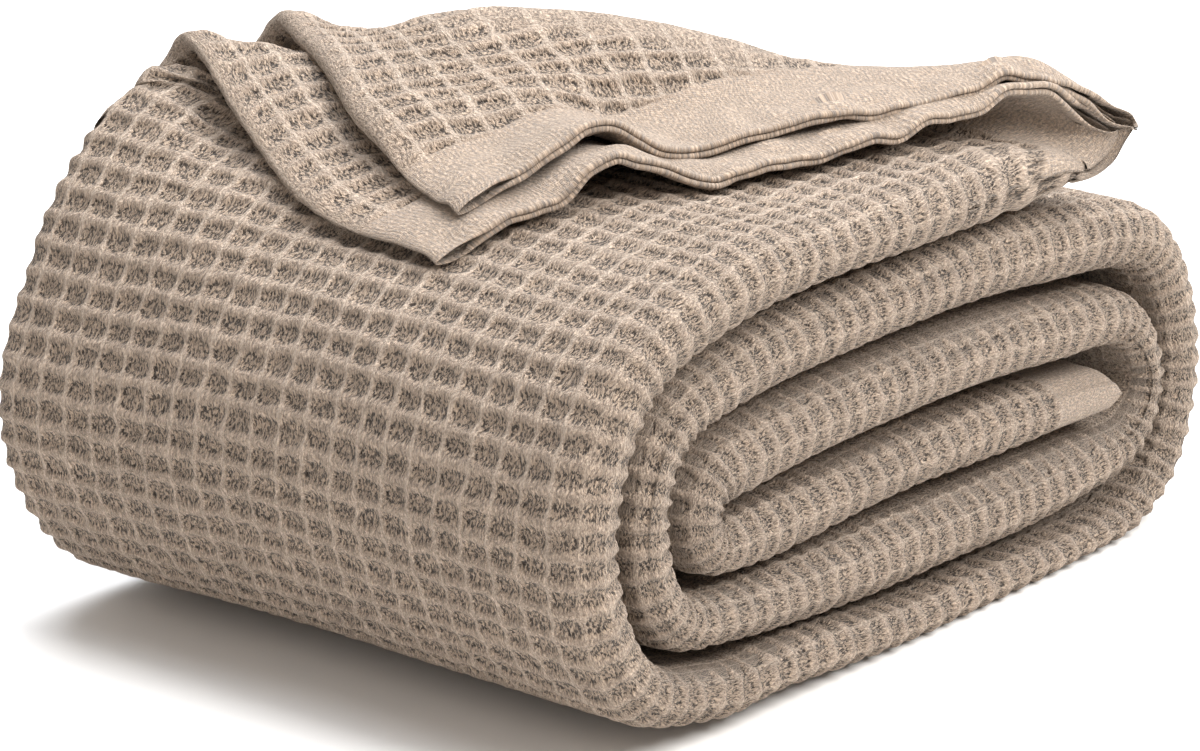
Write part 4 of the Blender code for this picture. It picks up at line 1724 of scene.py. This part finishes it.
        heights = ((raised, self.rib_height), (floats, self.float_height))
        yarn = self._stacked(tree, *heights, (fuzz, self.fibre_height))
        banded = self._stacked(tree, *zip((hem, fuzz), self.hem_heights))
        ends = {0: marks["plain"], 2: yarn, 3: banded}
        height = add_node(tree, "Mix", ends, data_type="FLOAT")[0]
        drop = {"Height": height, "Strength": 1.0, "Distance": self.yarn_bump_mm / MM_PER_M}
        tree.links.new(add_node(tree, "Bump", drop)[0], shader["Normal"])
        return material

    def _stacked(self, tree: Tree, *layers: tuple[Socket, float]) -> Socket:
        """Patterns stacked on each other, each as high as its share.

        Args:
            tree: the node tree.
            *layers: each pattern with its share.

        Returns:
            The height of all of them.
        """
        total = add_node(tree, "Math", layers[0], operation="MULTIPLY")[0]
        for layer in layers[1:]:
            total = add_node(tree, "Math", (*layer, total), operation="MULTIPLY_ADD")[0]
        return total


@dataclass
class Blanket:
    """The whole blanket: the wound runs and the two turned bundles, on one body."""

    path: WoundPath = field(default_factory=WoundPath)
    lift: BackLift = BackLift()
    columns: ColumnSet = ColumnSet()
    cloth: Cloth = Cloth()
    finish: CottonFinish = CottonFinish()
    leaves: LeafStack = LeafStack()
    wrap_end: float = 1.36
    hem_lead: float = 0.07
    far_from_hem: float = 1.0

    def build(self) -> list[bpy.types.Object]:
        """Builds, dresses and hangs every piece.

        Returns:
            The pieces, the sheet first.
        """
        body = WoundBody(self.path, self.lift, self.columns)
        pieces = [self._sheet(body), *self._runs(body)]
        for bundle in self._bundles(body):
            pieces += bundle.build(self.cloth, self.columns.spacing)
        material = self.finish.material()
        for piece in pieces:
            piece.data.materials.append(material)
            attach(piece, BODY)
            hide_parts(CAD_NODE)
            LOG.info("%s: %d faces", piece.name, len(piece.data.polygons))
        return pieces

    def _sheet(self, body: WoundBody) -> bpy.types.Object:
        """The whole sheet to and fro through every run, which the faces that show cover.

        Args:
            body: the wound runs.

        Returns:
            The sheet.
        """
        points, along, across = self.leaves.lay(body)
        to_hem = np.full(along.shape, self.far_from_hem)
        return self.cloth.dress("folded_sheet", points, along, across, to_hem, Weave.HIDDEN, True)

    def _strip(
        self,
        body: WoundBody,
        name: str,
        sets: list[tuple[Columns, Half]],
        start: float,
        end: float,
    ) -> bpy.types.Object:
        """One strip of the wound runs, over one or two halves that share a border.

        Args:
            body: the wound runs.
            name: the strip's name.
            sets: the columns of each half, and which half it is.
            start: where it starts along the path.
            end: where it ends.

        Returns:
            The strip.
        """
        rows = [body.rows(columns, start, end) for columns, _ in sets]
        placed = [body.place(s, *columns_half) for s, columns_half in zip(rows, sets)]
        points, across = (np.hstack(part) for part in zip(*placed))
        s = np.hstack(rows)
        to_hem = np.minimum(self.path.end - s, s + self.hem_lead)
        along = body.cloth_along(s, points[..., 1])
        return self.cloth.dress(name, points, along, across, to_hem, Weave.WAFFLE, True)

    def _runs(self, body: WoundBody) -> list[bpy.types.Object]:
        """The strips of the wound runs.

        Args:
            body: the wound runs.

        Returns:
            The strips, front folds first.
        """
        sets, fine = self.columns, self.columns.spacing
        fronts = [
            (sets.front(fine).reversed(), Half.INWARD),
            (_cut_first(sets.front(fine)), Half.OUTWARD),
        ]
        backs = [
            (sets.back(fine), Half.OUTWARD),
            (_cut_first(sets.back(fine).reversed()), Half.INWARD),
        ]
        wraps = [(sets.middle(fine), Half.OUTWARD)]
        end, wrap_end = self.path.end, self.wrap_end
        strips = (
            ("front_folds_1", fronts, FROM_ROOT, end / 2),
            ("front_folds_2", fronts, end / 2, end),
            ("back_folds", backs, FROM_ROOT, end),
            ("outer_wrap_1", wraps, FROM_ROOT, wrap_end / 2),
            ("outer_wrap_2", wraps, wrap_end / 2, wrap_end),
        )
        return [self._strip(body, *strip) for strip in strips]

    def _bundles(self, body: WoundBody) -> list[TurnedBundle]:
        """The two bundles of the turned corner.

        Args:
            body: the wound runs.

        Returns:
            The lower bundle and the upper one.
        """
        lower = TurnedBundle(
            name="lower_corner",
            body=body,
            half=Half.OUTWARD,
            turn_front=0.091,
            turn_back=-0.1035,
            hem_front=0.121,
            hem_back=0.105,
            bow_front=0.022,
            bow_back=0.024,
            curls=(
                Curl(0.0, 0.0150, 0.0142, 0.0115),
                Curl(0.4, 0.0105, 0.0072, 0.0096),
                Curl(1.0, 0.0062, 0.0070, 0.0096),
            ),
            swells=((0.0, 0.0), (0.4, 0.001), (0.6, 0.005), (0.75, 0.002), (1.0, 0.001)),
        )
        upper = TurnedBundle(
            name="upper_corner",
            body=body,
            half=Half.INWARD,
            turn_front=0.0875,
            turn_back=-0.069,
            hem_front=0.133,
            hem_back=0.180,
            bow_front=0.026,
            bow_back=0.024,
            curls=(
                Curl(0.0, 0.0220, 0.0208, 0.0140),
                Curl(0.1, 0.0245, 0.0222, 0.0138),
                Curl(0.4, 0.0305, 0.0222, 0.0130),
                Curl(1.0, 0.0180, 0.0165, 0.0120),
            ),
            swells=(
                *((0.0, -0.001), (0.20, -0.001), (0.32, 0.000), (0.41, 0.003)),
                *((0.49, 0.0070), (0.56, 0.0100), (0.64, 0.0108), (0.70, 0.0098)),
                *((0.75, 0.0055), (0.82, -0.001), (0.88, 0.0010), (1.0, 0.0040)),
            ),
            crest_pull=0.85,
        )
        return [lower, upper]


class Softbox(NamedTuple):
    """A square soft light that faces the blanket: power in watts, size in metres."""

    name: str
    place: Triple
    power: float
    size: float
    hex_colour: str


@dataclass(frozen=True)
class Studio:
    """A pale floor, soft light and the photograph's viewpoint."""

    camera_place: Triple = (-1.64439, -1.31574, 0.81796)
    camera_way: Triple = (0.73347, 0.59395, -0.33051)
    lens: float = 165.0
    clip: Pair = (0.1, 50.0)
    floor_size: float = 12.0
    floor_parts: int = 8
    floor_hex: str = "F4F2EF"
    floor_roughness: float = 0.9
    sky_hex: str = "FFFFFF"
    sky: float = 0.40
    aim: Triple = (0.0, 0.0, 0.1)
    lights: tuple[Softbox, ...] = (
        Softbox("key_softbox", (0.35, -1.75, 1.95), 90.0, 1.3, "FFFFFF"),
        Softbox("top_softbox", (0.3, 0.3, 1.9), 72.0, 1.9, "F3F8FF"),
        Softbox("left_softbox", (-1.9, -0.6, 1.3), 9.0, 1.5, "FFF0E2"),
    )

    def build(self) -> None:
        """Makes the floor, the lights and the camera."""
        self._floor()
        self._sky()
        for light in self.lights:
            self._light(light)
        self._camera()

    def _floor(self) -> None:
        """A wide level floor."""
        grid, parts = bmesh.new(), self.floor_parts
        bmesh.ops.create_grid(grid, x_segments=parts, y_segments=parts, size=self.floor_size / 2)
        mesh = bpy.data.meshes.new("studio_floor")
        grid.to_mesh(mesh)
        grid.free()
        material = bpy.data.materials.new("matt_white_floor")
        material.use_nodes = True
        shader = material.node_tree.nodes["Principled BSDF"]
        shader.inputs["Base Color"].default_value = linear_colour(self.floor_hex)
        shader.inputs["Roughness"].default_value = self.floor_roughness
        mesh.materials.append(material)
        floor = bpy.data.objects.new("studio_floor", mesh)
        bpy.context.scene.collection.objects.link(floor)

    def _sky(self) -> None:
        """An even white surround."""
        world = bpy.data.worlds.new("white_surround")
        world.use_nodes = True
        background = world.node_tree.nodes["Background"]
        background.inputs["Color"].default_value = linear_colour(self.sky_hex)
        background.inputs["Strength"].default_value = self.sky
        bpy.context.scene.world = world

    def _light(self, softbox: Softbox) -> None:
        """A square soft light that faces the blanket.

        Args:
            softbox: its place, power, size and colour.
        """
        data = bpy.data.lights.new(softbox.name, "AREA")
        data.energy = softbox.power
        data.size = softbox.size
        data.color = linear_colour(softbox.hex_colour)[:3]
        self._aimed(data, softbox.place, Vector(self.aim) - Vector(softbox.place))

    def _camera(self) -> None:
        """The camera, where the photograph was taken from."""
        data = bpy.data.cameras.new("camera")
        data.lens = self.lens
        data.clip_start, data.clip_end = self.clip
        scene = bpy.context.scene
        scene.camera = self._aimed(data, self.camera_place, Vector(self.camera_way))
        scene.view_settings.view_transform = "Standard"

    def _aimed(self, data: bpy.types.ID, place: Triple, way: Vector) -> bpy.types.Object:
        """A light or a camera at its place, facing its way.

        Args:
            data: the light's or camera's data.
            place: where it stands.
            way: the way it faces.

        Returns:
            The object.
        """
        thing = bpy.data.objects.new(data.name, data)
        thing.location = place
        thing.rotation_mode = "QUATERNION"
        thing.rotation_quaternion = way.to_track_quat("-Z", "Y")
        bpy.context.scene.collection.objects.link(thing)
        return thing


def main() -> None:
    """Builds the blanket and the studio round it."""
    logging.basicConfig(level=logging.INFO, format="%(message)s")
    Blanket().build()
    Studio().build()


if __name__ == "__main__":
    main()
